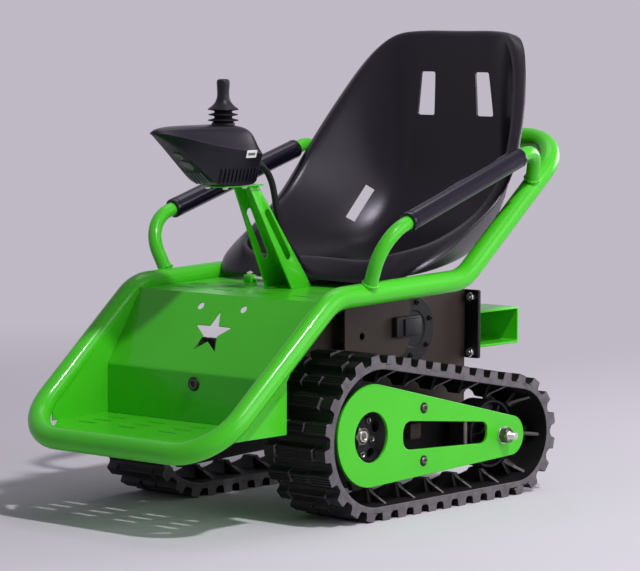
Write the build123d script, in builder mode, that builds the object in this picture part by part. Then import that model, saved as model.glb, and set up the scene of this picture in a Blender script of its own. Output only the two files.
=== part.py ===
from build123d import *
from math import asin, atan2, cos, degrees, pi, radians, sin, tan
import os

# Electric snow bike: one seat, two rubber tracks, steered by a joystick.
# Millimetres. +X is the rider's left, the rider looks along -Y, +Z is up.
# The origin is on the ground, under the middle of the tube frame.

os.makedirs("parts", exist_ok=True)

# Main tube loop, given by the corners of its centre line
TUBE_OD = 33.7
TUBE_WALL = 2.6
LOOP_HALF_WIDTH = 200.0
LOOP_HALF_LENGTH = 415.3
FRONT_BAR_Z = 124.5
REAR_BAR_Z = 549.4
SHOULDER_FRONT_Y = -158.0
SHOULDER_FRONT_Z = 332.2
SHOULDER_REAR_Y = 148.8
SHOULDER_REAR_Z = 341.8
HOOP_BEND = 80.0
SHOULDER_BEND = 80.0
SPLICE_FROM_SHOULDER = 60.0

# Armrests
ARM_TUBE_OD = 21.3
ARM_TUBE_WALL = 2.3
ARM_FOOT = (203.0, -81.0)
ARM_FRONT = (242.6, -93.5, 422.0)
ARM_REAR = (230.3, LOOP_HALF_LENGTH - 122.3, 541.0)
ARM_TAIL_Y = LOOP_HALF_LENGTH - 93.3
ARM_FRONT_BEND = 60.0
ARM_REAR_BEND = 36.0
GRIP_OD = 31.0
GRIP_START = 62.0
GRIP_END_GAP = 45.6
GRIP_FIT = 0.05

# Sheet metal body between the tubes
SHEET = 2.0
SEAM = 0.2
DECK_DROP = 5.1
DECK_FRONT = -9.0
DECK_REAR = 318.0
FOLD_SHARE = 0.3187
FOLD_Y = SHOULDER_FRONT_Y - FOLD_SHARE * (LOOP_HALF_LENGTH + SHOULDER_FRONT_Y)
FOLD_Z = 215.9
FOOT_Z = 141.6
SLOT_WIDTH = 6.0
SLOT_LENGTH = 44.0
SLOT_PITCH = 82.0
DECK_SLOT_ROW = 42.0
DECK_SLOT_SHIFT = 9.0
DECK_SLOT_OFF_MIDDLE = 27.0
STAR_RADIUS = 38.0
STAR_INNER = 0.40
STAR_BELOW_DECK = 65.0
PANEL_HOLE_D = 12.0
PANEL_HOLE_SPACING = 87.0
PANEL_HOLE_BELOW_DECK = 21.5
PLUG_D = 21.0
PLUG_Z = 199.0

# Joystick stand, a channel that leans forward and narrows upwards
STAND_PLATE = 3.0
STAND_FOOT_HALF_WIDTH = 28.0
STAND_TOP_HALF_WIDTH = 17.0
STAND_FOOT_FRONT_Y = -52.0
STAND_FOOT_REAR_Y = -2.0
STAND_TOP_FRONT_Y = -137.0
STAND_TOP_REAR_Y = -112.0
STAND_TOP_Z = 490.0
STAND_SLOT_WIDTH = 12.0
STAND_SLOT_ABOVE_DECK = 47.0
STAND_SLOT_BELOW_TOP = 42.0
TRAY_HALF_WIDTH = 24.0
TRAY_FRONT_Y = -200.0
TRAY_REAR_Y = -108.0

# Joystick pod, lever and cable
POD_NOSE_Y = -326.0
POD_REAR_Y = -106.0
STICK_Y = -176.0
BOOT_BASE_D = 32.0
BOOT_DISC_D = 46.5
BOOT_DISC_SMALL_D = 41.0
KNOB_D = 18.0
POD_LID_Z = 584.0
BOOT_TOP_Z = 619.0
KNOB_TOP_Z = 649.5
CABLE_D = 10.0

# Bucket seat and the small latch on the deck
SEAT_WALL = 5.0
SEAT_DRAWN_IN = (200.0, 415.3)
SEAT_FLOOR_ROUND = 20.0
STAY_X = 62.0
STAY_WIDTH = 26.0
STAY_HEIGHT = 18.0
STAY_SEAT_GAP = 0.3
FITTING_X = -89.0
FITTING_Y = 140.0
FITTING_SIZE = 16.0
FITTING_HEIGHT = 12.0
FITTING_PIN_D = 6.0
FITTING_PIN_LENGTH = 24.0

# Track units
TRACK_OUTER_X = 236.7
TRACK_WIDTH = 119.2
FRONT_WHEEL_Y = -92.0
REAR_ARC_Y = 248.0
FRONT_LOOP_RADIUS = 124.0
REAR_LOOP_RADIUS = 94.0
BELT = 7.0
LUG_HEIGHT = 12.5
LUG_COUNT = 36
LUG_BASE = 22.0
LUG_TIP = 17.0
GUIDE_HEIGHT = 22.0
GUIDE_BASE_WIDTH = 76.0
GUIDE_TIP_WIDTH = 26.0
GUIDE_LENGTH = 22.0
PLATE = 5.0
OUTER_PLATE_X = 221.0
PLATE_INSIDE_FRONT = 47.0
PLATE_INSIDE_REAR = 63.0
PLATE_BIG_RADIUS = FRONT_LOOP_RADIUS - PLATE_INSIDE_FRONT
PLATE_FRONT_Z = FRONT_LOOP_RADIUS + 2.5
PLATE_SMALL_RADIUS = REAR_LOOP_RADIUS - PLATE_INSIDE_REAR
PLATE_HOLE_RADIUS = PLATE_BIG_RADIUS * 0.50
PLATE_REAR_Y = 249.0
PLATE_SLOT_FRONT_Y = 4.0
PLATE_SLOT_REAR_Y = 171.0
PLATE_SLOT_FRONT_RADIUS = PLATE_BIG_RADIUS * 0.29
PLATE_SLOT_REAR_RADIUS = PLATE_SMALL_RADIUS * 0.53
PLATE_SLOT_RAISE = 4.0
SPACER_D = 16.0
SPACER_Y = 30.5
SPACER_Z = (FRONT_LOOP_RADIUS - PLATE_BIG_RADIUS * 0.623, FRONT_LOOP_RADIUS + PLATE_BIG_RADIUS * 0.422)
WHEEL_FACE_X = 199.0
IDLER_AHEAD_OF_TIPS = 115.0
IDLER_Y = REAR_ARC_Y + REAR_LOOP_RADIUS - IDLER_AHEAD_OF_TIPS
IDLER_Z = REAR_LOOP_RADIUS + 1.0
SPROCKET_TEETH = 10
SPROCKET_DISC_STEP = 24.2
SPROCKET_DISC_WIDTH = 14.0
SPROCKET_RIM_WIDTH = 34.0
SPROCKET_RIM = 9.0
SPROCKET_VALLEY_RADIUS = 13.0
SPROCKET_HUB_D = 38.0
SPROCKET_BOSS_D = 48.0
IDLER_RIM = 4.0
IDLER_HUB_D = 34.0
IDLER_DISH = 12.0
WHEEL_SEAT = 0.3
FRONT_AXLE_D = 20.0
REAR_AXLE_D = 14.0
REAR_AXLE_TIP_X = 247.0
REAR_AXLE_END_D = 12.0
REAR_AXLE_END_LENGTH = 12.0
SHAFT_FIT = 0.05
WASHER_D = 28.0
WASHER = 2.5
NUT_FLATS = 22.0
NUT = 11.0
FRONT_NUT_FLATS = 27.0
FRONT_NUT = 5.0

# Chassis under the deck
CHASSIS_X = 73.0
CHASSIS_PLATE = 4.0
CHASSIS_FRONT_BOTTOM_Z = FRONT_LOOP_RADIUS - 24.0
CHASSIS_REAR_BOTTOM_Z = IDLER_Z - 15.0
CHASSIS_FRONT_Y = FRONT_WHEEL_Y - 40.0
CHASSIS_FRONT_TOP_Z = FRONT_LOOP_RADIUS + 66.0
CHASSIS_TOP_FRONT_Y = FRONT_WHEEL_Y + 62.0
REAR_PLATE_Y = 317.0
REAR_PLATE = 7.0
REAR_PLATE_HALF_WIDTH = 100.0
REAR_PLATE_BOTTOM_Z = 198.0
REAR_PLATE_TOP_Z = 308.0
HITCH_HALF_WIDTH = 94.0
HITCH_HEIGHT = 60.0
HITCH_WALL = 4.0
HITCH_BOTTOM_Z = 214.0
MOTOR_RADIUS = 52.0
MOTOR_Y = 165.0
MOTOR_Z = 257.0
MOTOR_END_X = 90.0
COVER_X = 97.0
COVER = 3.0
COVER_FRONT_Y = -12.0
COVER_REAR_Y = 144.0
COVER_BOTTOM_Z = 215.0
COVER_TOP_Z = 312.0
COVER_CORNER = 14.0
COVER_ROUND_CORNER = 40.0
COVER_HOLE = (29.0, 256.0)
COVER_HOLE_D = 11.0
COVER_BOSS_D = 12.0
COVER_BOSSES = [(10.0, 240.0), (10.0, 290.0), (96.0, 290.0)]
BATTERY_FRONT_Y = -45.0
BATTERY_REAR_Y = 200.0
BATTERY_OVER_AXLE = 16.0
BATTERY_UNDER_DECK = 6.0
BATTERY_CORNER = 6.0

# The wheels carry the belt on the tips of its guide teeth
SPROCKET_RADIUS = FRONT_LOOP_RADIUS - LUG_HEIGHT - BELT - GUIDE_HEIGHT - WHEEL_SEAT
IDLER_RADIUS = IDLER_Z - LUG_HEIGHT - BELT - GUIDE_HEIGHT - WHEEL_SEAT
SPROCKET_DISC_RADIUS = SPROCKET_RADIUS - SPROCKET_DISC_STEP

TUBE_R = TUBE_OD / 2
BODY_HALF_WIDTH = LOOP_HALF_WIDTH - TUBE_R - SEAM
DECK_TILT = degrees(atan2(SHOULDER_REAR_Z - SHOULDER_FRONT_Z, SHOULDER_REAR_Y - SHOULDER_FRONT_Y))


def save(builder, label):
    builder.part.label = label
    export_step(builder.part, f"parts/{label}.step")


def save_pair(builder, label):
    """Writes a left-hand piece and its mirror image."""
    save(builder, f"{label}_left")
    with BuildPart() as twin:
        mirror(builder.part, about=Plane.YZ)
    save(twin, f"{label}_right")


def deck_z(y):
    """Height of the deck's top face at a given y."""
    return SHOULDER_FRONT_Z - DECK_DROP + (y - SHOULDER_FRONT_Y) * tan(radians(DECK_TILT))


deck_plane = Plane(
    origin=(0, SHOULDER_FRONT_Y, deck_z(SHOULDER_FRONT_Y)),
    x_dir=(1, 0, 0),
    z_dir=(0, -sin(radians(DECK_TILT)), cos(radians(DECK_TILT))),
)


# Tube loop: two hoops and two side rails, butt welded
def loop_corner(side, y, z):
    return Vector(side * LOOP_HALF_WIDTH, y, z)


def toward(start, goal, distance):
    return start + (goal - start).normalized() * distance


def tube(path_points, radii, outer_d, wall):
    with BuildPart() as bar:
        with BuildLine() as path:
            FilletPolyline(*path_points, radius=radii)
        with BuildSketch(Plane(origin=path.line @ 0, z_dir=path.line % 0)):
            Circle(outer_d / 2)
            Circle(outer_d / 2 - wall, mode=Mode.SUBTRACT)
        sweep(path=path.line)
    return bar


front_low = [loop_corner(s, -LOOP_HALF_LENGTH, FRONT_BAR_Z) for s in (1, -1)]
front_high = [loop_corner(s, SHOULDER_FRONT_Y, SHOULDER_FRONT_Z) for s in (1, -1)]
rear_low = [loop_corner(s, SHOULDER_REAR_Y, SHOULDER_REAR_Z) for s in (1, -1)]
rear_high = [loop_corner(s, LOOP_HALF_LENGTH, REAR_BAR_Z) for s in (1, -1)]
front_splice = [toward(front_high[i], front_low[i], SPLICE_FROM_SHOULDER) for i in (0, 1)]
rear_splice = [toward(rear_low[i], rear_high[i], SPLICE_FROM_SHOULDER) for i in (0, 1)]

front_hoop = tube(
    [front_splice[0], front_low[0], front_low[1], front_splice[1]],
    [HOOP_BEND, HOOP_BEND],
    TUBE_OD,
    TUBE_WALL,
)
save(front_hoop, "front_hoop")

rear_hoop = tube(
    [rear_splice[0], rear_high[0], rear_high[1], rear_splice[1]],
    [HOOP_BEND, HOOP_BEND],
    TUBE_OD,
    TUBE_WALL,
)
save(rear_hoop, "rear_hoop")

side_rail = tube(
    [front_splice[0], front_high[0], rear_low[0], rear_splice[0]],
    [SHOULDER_BEND, SHOULDER_BEND],
    TUBE_OD,
    TUBE_WALL,
)
save_pair(side_rail, "side_rail")


# Armrests: a bent tube from rail to rear hoop, coped to both, with a sleeve grip
def solid_bar(path_points, radii, diameter):
    with BuildPart() as bar:
        with BuildLine() as path:
            FilletPolyline(*path_points, radius=radii)
        with BuildSketch(Plane(origin=path.line @ 0, z_dir=path.line % 0)):
            Circle(diameter / 2)
        sweep(path=path.line)
    return bar


arm_foot_z = SHOULDER_FRONT_Z + (ARM_FOOT[1] - SHOULDER_FRONT_Y) * tan(radians(DECK_TILT))
arm_tail_z = SHOULDER_REAR_Z + (ARM_TAIL_Y - SHOULDER_REAR_Y) * (REAR_BAR_Z - SHOULDER_REAR_Z) / (
    LOOP_HALF_LENGTH - SHOULDER_REAR_Y
)
arm_points = [
    Vector(ARM_FOOT[0], ARM_FOOT[1], arm_foot_z),
    Vector(*ARM_FRONT),
    Vector(*ARM_REAR),
    Vector(LOOP_HALF_WIDTH, ARM_TAIL_Y, arm_tail_z),
]
rail_space = solid_bar(
    [front_splice[0], front_high[0], rear_low[0], rear_high[0], rear_high[1]],
    [SHOULDER_BEND, SHOULDER_BEND, HOOP_BEND],
    TUBE_OD + 2 * SEAM,
)
with BuildPart() as armrest_tube:
    with BuildLine() as arm_path:
        FilletPolyline(*arm_points, radius=[ARM_FRONT_BEND, ARM_REAR_BEND])
    with BuildSketch(Plane(origin=arm_path.line @ 0, z_dir=arm_path.line % 0)):
        Circle(ARM_TUBE_OD / 2)
        Circle(ARM_TUBE_OD / 2 - ARM_TUBE_WALL, mode=Mode.SUBTRACT)
    sweep(path=arm_path.line)
    add(rail_space.part, mode=Mode.SUBTRACT)
save_pair(armrest_tube, "armrest_tube")

arm_direction = (Vector(*ARM_REAR) - Vector(*ARM_FRONT)).normalized()
grip_start = Vector(*ARM_FRONT) + arm_direction * GRIP_START
with BuildPart() as armrest_grip:
    with BuildSketch(Plane(origin=grip_start, z_dir=arm_direction)):
        Circle(GRIP_OD / 2)
        Circle(ARM_TUBE_OD / 2 + GRIP_FIT, mode=Mode.SUBTRACT)
    extrude(amount=(Vector(*ARM_REAR) - Vector(*ARM_FRONT)).length - GRIP_START - GRIP_END_GAP)
save_pair(armrest_grip, "armrest_grip")


# Sheet metal body
def slot_rows(rows, row_pitch, off_middle, shift, half_width):
    """Centres of rows of slots, each row shifted from the last, as (x, row offset)."""
    centres = []
    for row in range(rows):
        for column in range(-3, 4):
            x = column * SLOT_PITCH + off_middle - row * shift
            if abs(x) + SLOT_LENGTH / 2 < half_width - 8:
                centres.append((x, row * row_pitch))
    return centres


DECK_SLOT_ROWS = 2
DECK_SLOT_START = 39.0
deck_slots = slot_rows(DECK_SLOT_ROWS, DECK_SLOT_ROW, DECK_SLOT_OFF_MIDDLE, DECK_SLOT_SHIFT, BODY_HALF_WIDTH)
with BuildPart() as deck_plate:
    with BuildSketch(deck_plane):
        with Locations((0, (DECK_FRONT + DECK_REAR) / 2)):
            Rectangle(2 * BODY_HALF_WIDTH, DECK_REAR - DECK_FRONT)
        with Locations(*[(x, DECK_SLOT_START + y) for x, y in deck_slots]):
            SlotOverall(SLOT_LENGTH, SLOT_WIDTH, mode=Mode.SUBTRACT)
    extrude(amount=-SHEET)
save(deck_plate, "deck_plate")

deck_front_point = deck_plane.from_local_coords(Vector(0, DECK_FRONT, 0))
panel_drop = Vector(0, FOLD_Y, FOLD_Z) - deck_front_point
panel_down = panel_drop.normalized()
panel_normal = Vector(1, 0, 0).cross(panel_down) * -1
panel_plane = Plane(origin=deck_front_point - deck_plane.y_dir * SEAM, x_dir=(1, 0, 0), z_dir=panel_normal)
FOOT_SLOT_ROWS = 3
FOOT_PLATE_FRONT_Y = -LOOP_HALF_LENGTH + TUBE_R + SEAM
FOOT_SLOT_START = 0.25 * (FOLD_Y + SHEET - FOOT_PLATE_FRONT_Y)
FOOT_SLOT_ROW = 0.197 * (FOLD_Y + SHEET - FOOT_PLATE_FRONT_Y)
with BuildPart() as front_panel:
    with BuildSketch(Plane.YZ):
        with BuildLine():
            Polyline(
                (deck_front_point.Y - SEAM, deck_front_point.Z),
                (FOLD_Y, FOLD_Z),
                (FOLD_Y, FOOT_Z),
                (FOLD_Y + SHEET, FOOT_Z),
                (FOLD_Y + SHEET, FOLD_Z - SHEET * 0.6),
                (deck_front_point.Y - SEAM + SHEET * 1.2, deck_front_point.Z - SHEET - SEAM),
                (deck_front_point.Y - SEAM, deck_front_point.Z - SHEET - SEAM),
                close=True,
            )
        make_face()
    extrude(amount=BODY_HALF_WIDTH - SHEET - SEAM, both=True)
    with BuildSketch(panel_plane):
        with Locations((0, -STAR_BELOW_DECK)):
            star_points = []
            for tip in range(5):
                for reach, turn in ((STAR_RADIUS, 0), (STAR_RADIUS * STAR_INNER, 36)):
                    angle = radians(90 + 72 * tip + turn)
                    star_points.append((reach * cos(angle), reach * sin(angle)))
            Polygon(*star_points, align=None)
        with Locations(*[(s * PANEL_HOLE_SPACING / 2, -PANEL_HOLE_BELOW_DECK) for s in (1, -1)]):
            Circle(PANEL_HOLE_D / 2)
    extrude(amount=3 * SHEET, both=True, mode=Mode.SUBTRACT)
    with Locations(Location((0, FOLD_Y, PLUG_Z), (90, 0, 0))):
        Cylinder(PLUG_D / 2 - 3, 6 * SHEET, mode=Mode.SUBTRACT)
save(front_panel, "front_panel")

with BuildPart() as riser_plug:
    with BuildSketch(Plane(origin=(0, FOLD_Y + SHEET + 3, PLUG_Z), z_dir=(0, -1, 0))):
        Circle(PLUG_D / 2 - 3 - GRIP_FIT)
    extrude(amount=SHEET + 3)
    with BuildSketch(Plane(origin=(0, FOLD_Y, PLUG_Z), z_dir=(0, -1, 0))):
        Circle(PLUG_D / 2)
    extrude(amount=3)
    chamfer(riser_plug.faces().sort_by(Axis.Y)[0].edges(), 1.0)
save(riser_plug, "riser_plug")

with BuildPart() as foot_plate:
    with BuildSketch(Plane.XY.offset(FOOT_Z - SHEET - SEAM)):
        with BuildLine():
            inner = BODY_HALF_WIDTH - SHEET - SEAM
            corner_y = -LOOP_HALF_LENGTH + HOOP_BEND
            Polyline(
                (inner, FOLD_Y + SHEET),
                (inner, corner_y),
                (LOOP_HALF_WIDTH - HOOP_BEND, FOOT_PLATE_FRONT_Y),
                (-LOOP_HALF_WIDTH + HOOP_BEND, FOOT_PLATE_FRONT_Y),
                (-inner, corner_y),
                (-inner, FOLD_Y + SHEET),
                close=True,
            )
        make_face()
        foot_slots = slot_rows(FOOT_SLOT_ROWS, FOOT_SLOT_ROW, SLOT_PITCH / 2, 0, BODY_HALF_WIDTH - 20)
        with Locations(*[(x, FOLD_Y - FOOT_SLOT_START - y) for x, y in foot_slots]):
            SlotOverall(SLOT_LENGTH, SLOT_WIDTH, mode=Mode.SUBTRACT)
    extrude(amount=SHEET)
save(foot_plate, "foot_plate")

rise = (SHOULDER_FRONT_Z - FRONT_BAR_Z) / (LOOP_HALF_LENGTH + SHOULDER_FRONT_Y)
tube_y_at_foot = -LOOP_HALF_LENGTH + (FOOT_Z - SHEET - FRONT_BAR_Z) / rise
with BuildPart() as side_panel:
    with BuildSketch(Plane.YZ.offset(BODY_HALF_WIDTH)):
        Polygon(
            (tube_y_at_foot + 40, FOOT_Z - SHEET - SEAM),
            (FOLD_Y + SHEET, FOOT_Z - SHEET - SEAM),
            (FOLD_Y + SHEET, FOLD_Z),
            (deck_front_point.Y, deck_front_point.Z - SHEET - SEAM),
            (deck_front_point.Y - 12, SHOULDER_FRONT_Z - rise * (SHOULDER_FRONT_Y - deck_front_point.Y + 12)),
            (tube_y_at_foot + 40, FRONT_BAR_Z + rise * (tube_y_at_foot + 40 + LOOP_HALF_LENGTH)),
            align=None,
        )
    extrude(amount=-SHEET)
save_pair(side_panel, "side_panel")


# Joystick stand
def stand_lean(z, foot_y, top_y):
    """Y of an edge of the stand at a height, between its foot and its top."""
    foot_z = deck_z(foot_y)
    return foot_y + (top_y - foot_y) * (z - foot_z) / (STAND_TOP_Z - foot_z)


stand_foot_z = deck_z(STAND_FOOT_FRONT_Y)
with BuildPart() as joystick_stand:
    with BuildSketch(Plane.YZ):
        Polygon(
            (STAND_FOOT_FRONT_Y, deck_z(STAND_FOOT_FRONT_Y)),
            (STAND_FOOT_REAR_Y, deck_z(STAND_FOOT_REAR_Y)),
            (STAND_TOP_REAR_Y, STAND_TOP_Z),
            (STAND_TOP_FRONT_Y, STAND_TOP_Z),
            align=None,
        )
    extrude(amount=STAND_FOOT_HALF_WIDTH, both=True)
    with BuildSketch(Plane.XZ.offset(-STAND_FOOT_REAR_Y)):
        Polygon(
            (STAND_FOOT_HALF_WIDTH, stand_foot_z),
            (STAND_TOP_HALF_WIDTH, STAND_TOP_Z),
            (-STAND_TOP_HALF_WIDTH, STAND_TOP_Z),
            (-STAND_FOOT_HALF_WIDTH, stand_foot_z),
            align=None,
        )
    extrude(amount=200, both=True, mode=Mode.INTERSECT)
    with BuildSketch(Plane.YZ):
        Polygon(
            (STAND_FOOT_FRONT_Y - 60, deck_z(STAND_FOOT_FRONT_Y) - 20),
            (STAND_FOOT_REAR_Y - STAND_PLATE * 1.3, deck_z(STAND_FOOT_REAR_Y) - 20),
            (STAND_TOP_REAR_Y - STAND_PLATE * 1.3, STAND_TOP_Z + 20),
            (STAND_TOP_FRONT_Y - 60, STAND_TOP_Z + 20),
            align=None,
        )
    extrude(amount=STAND_TOP_HALF_WIDTH - STAND_PLATE, both=True, mode=Mode.SUBTRACT)
    slot_ends = []
    for z in (stand_foot_z + STAND_SLOT_ABOVE_DECK, STAND_TOP_Z - STAND_SLOT_BELOW_TOP):
        front_y = stand_lean(z, STAND_FOOT_FRONT_Y, STAND_TOP_FRONT_Y)
        rear_y = stand_lean(z, STAND_FOOT_REAR_Y, STAND_TOP_REAR_Y)
        slot_ends.append(Vector((front_y + rear_y) / 2, z))
    with BuildSketch(Plane.YZ):
        SlotCenterPoint((slot_ends[0] + slot_ends[1]) / 2, slot_ends[1], STAND_SLOT_WIDTH)
    extrude(amount=2 * STAND_FOOT_HALF_WIDTH, both=True, mode=Mode.SUBTRACT)
save(joystick_stand, "joystick_stand")

with BuildPart() as joystick_tray:
    with BuildSketch(Plane.XY.offset(STAND_TOP_Z)):
        with Locations((0, (TRAY_FRONT_Y + TRAY_REAR_Y) / 2)):
            RectangleRounded(2 * TRAY_HALF_WIDTH, TRAY_REAR_Y - TRAY_FRONT_Y, 8)
    extrude(amount=SHEET)
save(joystick_tray, "joystick_tray")

# Joystick pod: a lofted housing, pointed at the nose
POD_BASE_Z = STAND_TOP_Z + SHEET
# Columns: y, bottom z, bottom half width, crease z, crease half width, top z, top half width
POD_SECTIONS = [
    (POD_NOSE_Y, 571, 5, 574, 9, 578, 6),
    (-296, 556, 14, 569, 27, 582, 19),
    (-252, 522, 21, 559, 37, 583, 27),
    (-214, POD_BASE_Z, 25, 551, 42, 583, 31),
    (-150, POD_BASE_Z, 27, 543, 44, 584, 32),
    (POD_REAR_Y - 8, POD_BASE_Z + 4, 22, 539, 36, 566, 22),
]
with BuildPart() as joystick_pod:
    for y, low_z, low_w, mid_z, mid_w, top_z, top_w in POD_SECTIONS:
        with BuildSketch(Plane(origin=(0, y, 0), x_dir=(1, 0, 0), z_dir=(0, -1, 0))):
            Polygon(
                (low_w, low_z),
                (mid_w, mid_z),
                (top_w, top_z),
                (-top_w, top_z),
                (-mid_w, mid_z),
                (-low_w, low_z),
                align=None,
            )
    loft(ruled=True)
save(joystick_pod, "joystick_pod")

# Columns of both profiles: radius, height
BOOT_PROFILE = [
    (0, POD_LID_Z),
    (BOOT_BASE_D / 2, POD_LID_Z),
    (BOOT_BASE_D / 2, POD_LID_Z + 6),
    (BOOT_DISC_D / 2, POD_LID_Z + 8),
    (BOOT_DISC_D / 2, POD_LID_Z + 10),
    (BOOT_BASE_D / 2 - 3, POD_LID_Z + 12.5),
    (BOOT_BASE_D / 2 - 3, POD_LID_Z + 15),
    (BOOT_DISC_SMALL_D / 2, POD_LID_Z + 16.7),
    (BOOT_DISC_SMALL_D / 2, POD_LID_Z + 18.7),
    (BOOT_BASE_D / 2 - 3, POD_LID_Z + 20.5),
    (BOOT_BASE_D / 2 - 3, POD_LID_Z + 22.5),
    (BOOT_DISC_D / 2, POD_LID_Z + 24),
    (BOOT_DISC_D / 2, POD_LID_Z + 26),
    (KNOB_D / 2 + 1, BOOT_TOP_Z),
    (0, BOOT_TOP_Z),
]
KNOB_PROFILE = [
    (0, BOOT_TOP_Z),
    (KNOB_D / 2 - 1, BOOT_TOP_Z),
    (KNOB_D / 2 - 0.5, BOOT_TOP_Z + 9),
    (KNOB_D / 2, KNOB_TOP_Z - 2),
    (KNOB_D / 2 - 2, KNOB_TOP_Z),
    (0, KNOB_TOP_Z),
]
for profile, label in ((BOOT_PROFILE, "joystick_boot"), (KNOB_PROFILE, "joystick_knob")):
    with BuildPart() as lever_piece:
        with BuildSketch(Plane.XZ):
            with BuildLine():
                Polyline(*profile, close=True)
            make_face()
        revolve(axis=Axis.Z)
    lever_piece.part = lever_piece.part.moved(Location((0, STICK_Y, 0)))
    save(lever_piece, label)

# Control cable, from the back of the pod down to its grommet on the deck
CABLE_ROUTE = [
    (0, -104, 524),
    (0, -84, 516),
    (0, -69, 498),
    (0, -61, 474),
    (0, -56, 446),
    (0, -45, 417),
    (0, -27, 391),
    (0, -3, 369),
    (0, 9, 345),
]
with BuildPart() as control_cable:
    with BuildLine() as cable_path:
        cable_points = [Vector(*p) for p in CABLE_ROUTE]
        cable_radii = []
        for i in range(1, len(cable_points) - 1):
            before = cable_points[i] - cable_points[i - 1]
            after = cable_points[i + 1] - cable_points[i]
            turn = before.get_angle(after)
            shorter = min(before.length, after.length)
            cable_radii.append(0.45 * shorter / tan(radians(turn) / 2))
        print("cable radii", [round(r) for r in cable_radii])
        FilletPolyline(*cable_points, radius=cable_radii)
    with BuildSketch(Plane(origin=cable_path.line @ 0, z_dir=cable_path.line % 0)):
        Circle(CABLE_D / 2)
    sweep(path=cable_path.line)
cable_length = sum(edge.length for edge in cable_path.edges())
print("cable volume ratio", round(control_cable.part.volume / (pi * CABLE_D**2 / 4 * cable_length), 3))
save(control_cable, "control_cable")

GROMMET_GAP_TO_CABLE_END = 1.4
cable_x, cable_y, cable_z = CABLE_ROUTE[-1]
grommet_foot = Plane(origin=(cable_x, cable_y, deck_z(cable_y)), z_dir=deck_plane.z_dir)
with BuildPart() as cable_grommet:
    with BuildSketch(grommet_foot):
        Circle(CABLE_D)
    extrude(amount=cable_z - deck_z(cable_y) - GROMMET_GAP_TO_CABLE_END)
save(cable_grommet, "cable_grommet")


# Bucket seat: a shell through fan-like U sections, from the front lip to the top of the back
# Columns: y and z of the underside, y and z of the rim, half width of floor and rim, floor thickness.
# They are drawn for the half width and half length of tube loop in SEAT_DRAWN_IN.
SEAT_SECTIONS = [
    (22.0, 333.2, 26.0, 354.0, 108.0, 144.0, 33.0),
    (50.0, 334.1, 56.0, 368.0, 112.0, 174.0, 14.0),
    (92.0, 335.4, 100.0, 389.0, 116.0, 197.0, SEAT_WALL),
    (160.0, 337.6, 165.0, 430.0, 118.0, 211.0, SEAT_WALL),
    (225.0, 347.0, 213.0, 466.0, 120.0, 217.0, SEAT_WALL),
    (285.0, 364.0, 248.0, 508.0, 120.0, 215.0, SEAT_WALL),
    (338.0, 402.0, 275.0, 549.0, 119.0, 205.0, SEAT_WALL),
    (372.0, 455.0, 303.0, 594.0, 116.0, 191.0, SEAT_WALL),
    (383.0, 530.0, 333.0, 646.0, 108.0, 173.0, SEAT_WALL),
    (383.0, 615.0, 354.0, 692.0, 96.0, 147.0, SEAT_WALL),
    (381.0, 690.0, 368.0, 713.0, 84.0, 122.0, SEAT_WALL),
    (381.0, 717.0, 377.0, 725.0, 74.0, 104.0, SEAT_WALL),
]
# Outside of one half of a U section, as shares of its width gained and of its height
SEAT_PROFILE = [(0.0, 0.0), (0.30, 0.10), (0.62, 0.42), (1.0, 1.0)]
SEAT_FRONT_Y = SEAT_SECTIONS[0][0]
SEAT_BACK_Y = SEAT_SECTIONS[8][0]


def seat_y(y):
    """Stretches the seat's depth with the tube loop, from its front lip."""
    return y + (LOOP_HALF_LENGTH - SEAT_DRAWN_IN[1]) * (y - SEAT_FRONT_Y) / (SEAT_BACK_Y - SEAT_FRONT_Y)


seat_spread = LOOP_HALF_WIDTH / SEAT_DRAWN_IN[0]

with BuildPart() as seat_shell:
    for low_y, low_z, rim_y, rim_z, floor_w, rim_w, floor_t in SEAT_SECTIONS:
        up = Vector(0, seat_y(rim_y) - seat_y(low_y), rim_z - low_z)
        outside = []
        inside = []
        for width_share, height_share in SEAT_PROFILE:
            flat_w = floor_w - SEAT_FLOOR_ROUND
            x = seat_spread * (flat_w + width_share * (rim_w - flat_w))
            height = height_share * up.length
            outside.append((x, height))
            inside.append((x - SEAT_WALL * (0.4 + 0.6 * width_share), height + floor_t * (1 - width_share)))
        row_plane = Plane(origin=(0, seat_y(low_y), low_z), x_dir=(1, 0, 0), z_dir=Vector(1, 0, 0).cross(up))
        with BuildSketch(row_plane):
            Polygon(
                *outside,
                *inside[::-1],
                *[(-x, height) for x, height in inside],
                *[(-x, height) for x, height in outside[::-1]],
                align=None,
            )
    loft(ruled=True)
save(seat_shell, "seat_shell")

# Stays from the rear bar to the back of the seat
stay_front_y = seat_y(SEAT_BACK_Y) + STAY_SEAT_GAP
stay_rear_y = LOOP_HALF_LENGTH - TUBE_R - SEAM
with BuildPart() as seat_stays:
    with Locations(*[(s * STAY_X, (stay_front_y + stay_rear_y) / 2, REAR_BAR_Z) for s in (1, -1)]):
        Box(STAY_WIDTH, stay_rear_y - stay_front_y, STAY_HEIGHT)
save(seat_stays, "seat_stays")

# Small latch on the deck beside the stand
with BuildPart() as deck_fitting:
    with BuildSketch(deck_plane):
        with Locations((FITTING_X, FITTING_Y)):
            RectangleRounded(FITTING_SIZE, FITTING_SIZE, 3)
    extrude(amount=FITTING_HEIGHT)
    pin_z = deck_z(SHOULDER_FRONT_Y + FITTING_Y) + FITTING_HEIGHT - FITTING_PIN_D + 1
    with BuildSketch(Plane.YZ.offset(FITTING_X + FITTING_SIZE / 2 - 2)):
        with Locations((SHOULDER_FRONT_Y + FITTING_Y, pin_z)):
            Circle(FITTING_PIN_D / 2)
    extrude(amount=FITTING_PIN_LENGTH)
save(deck_fitting, "deck_fitting")


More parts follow.
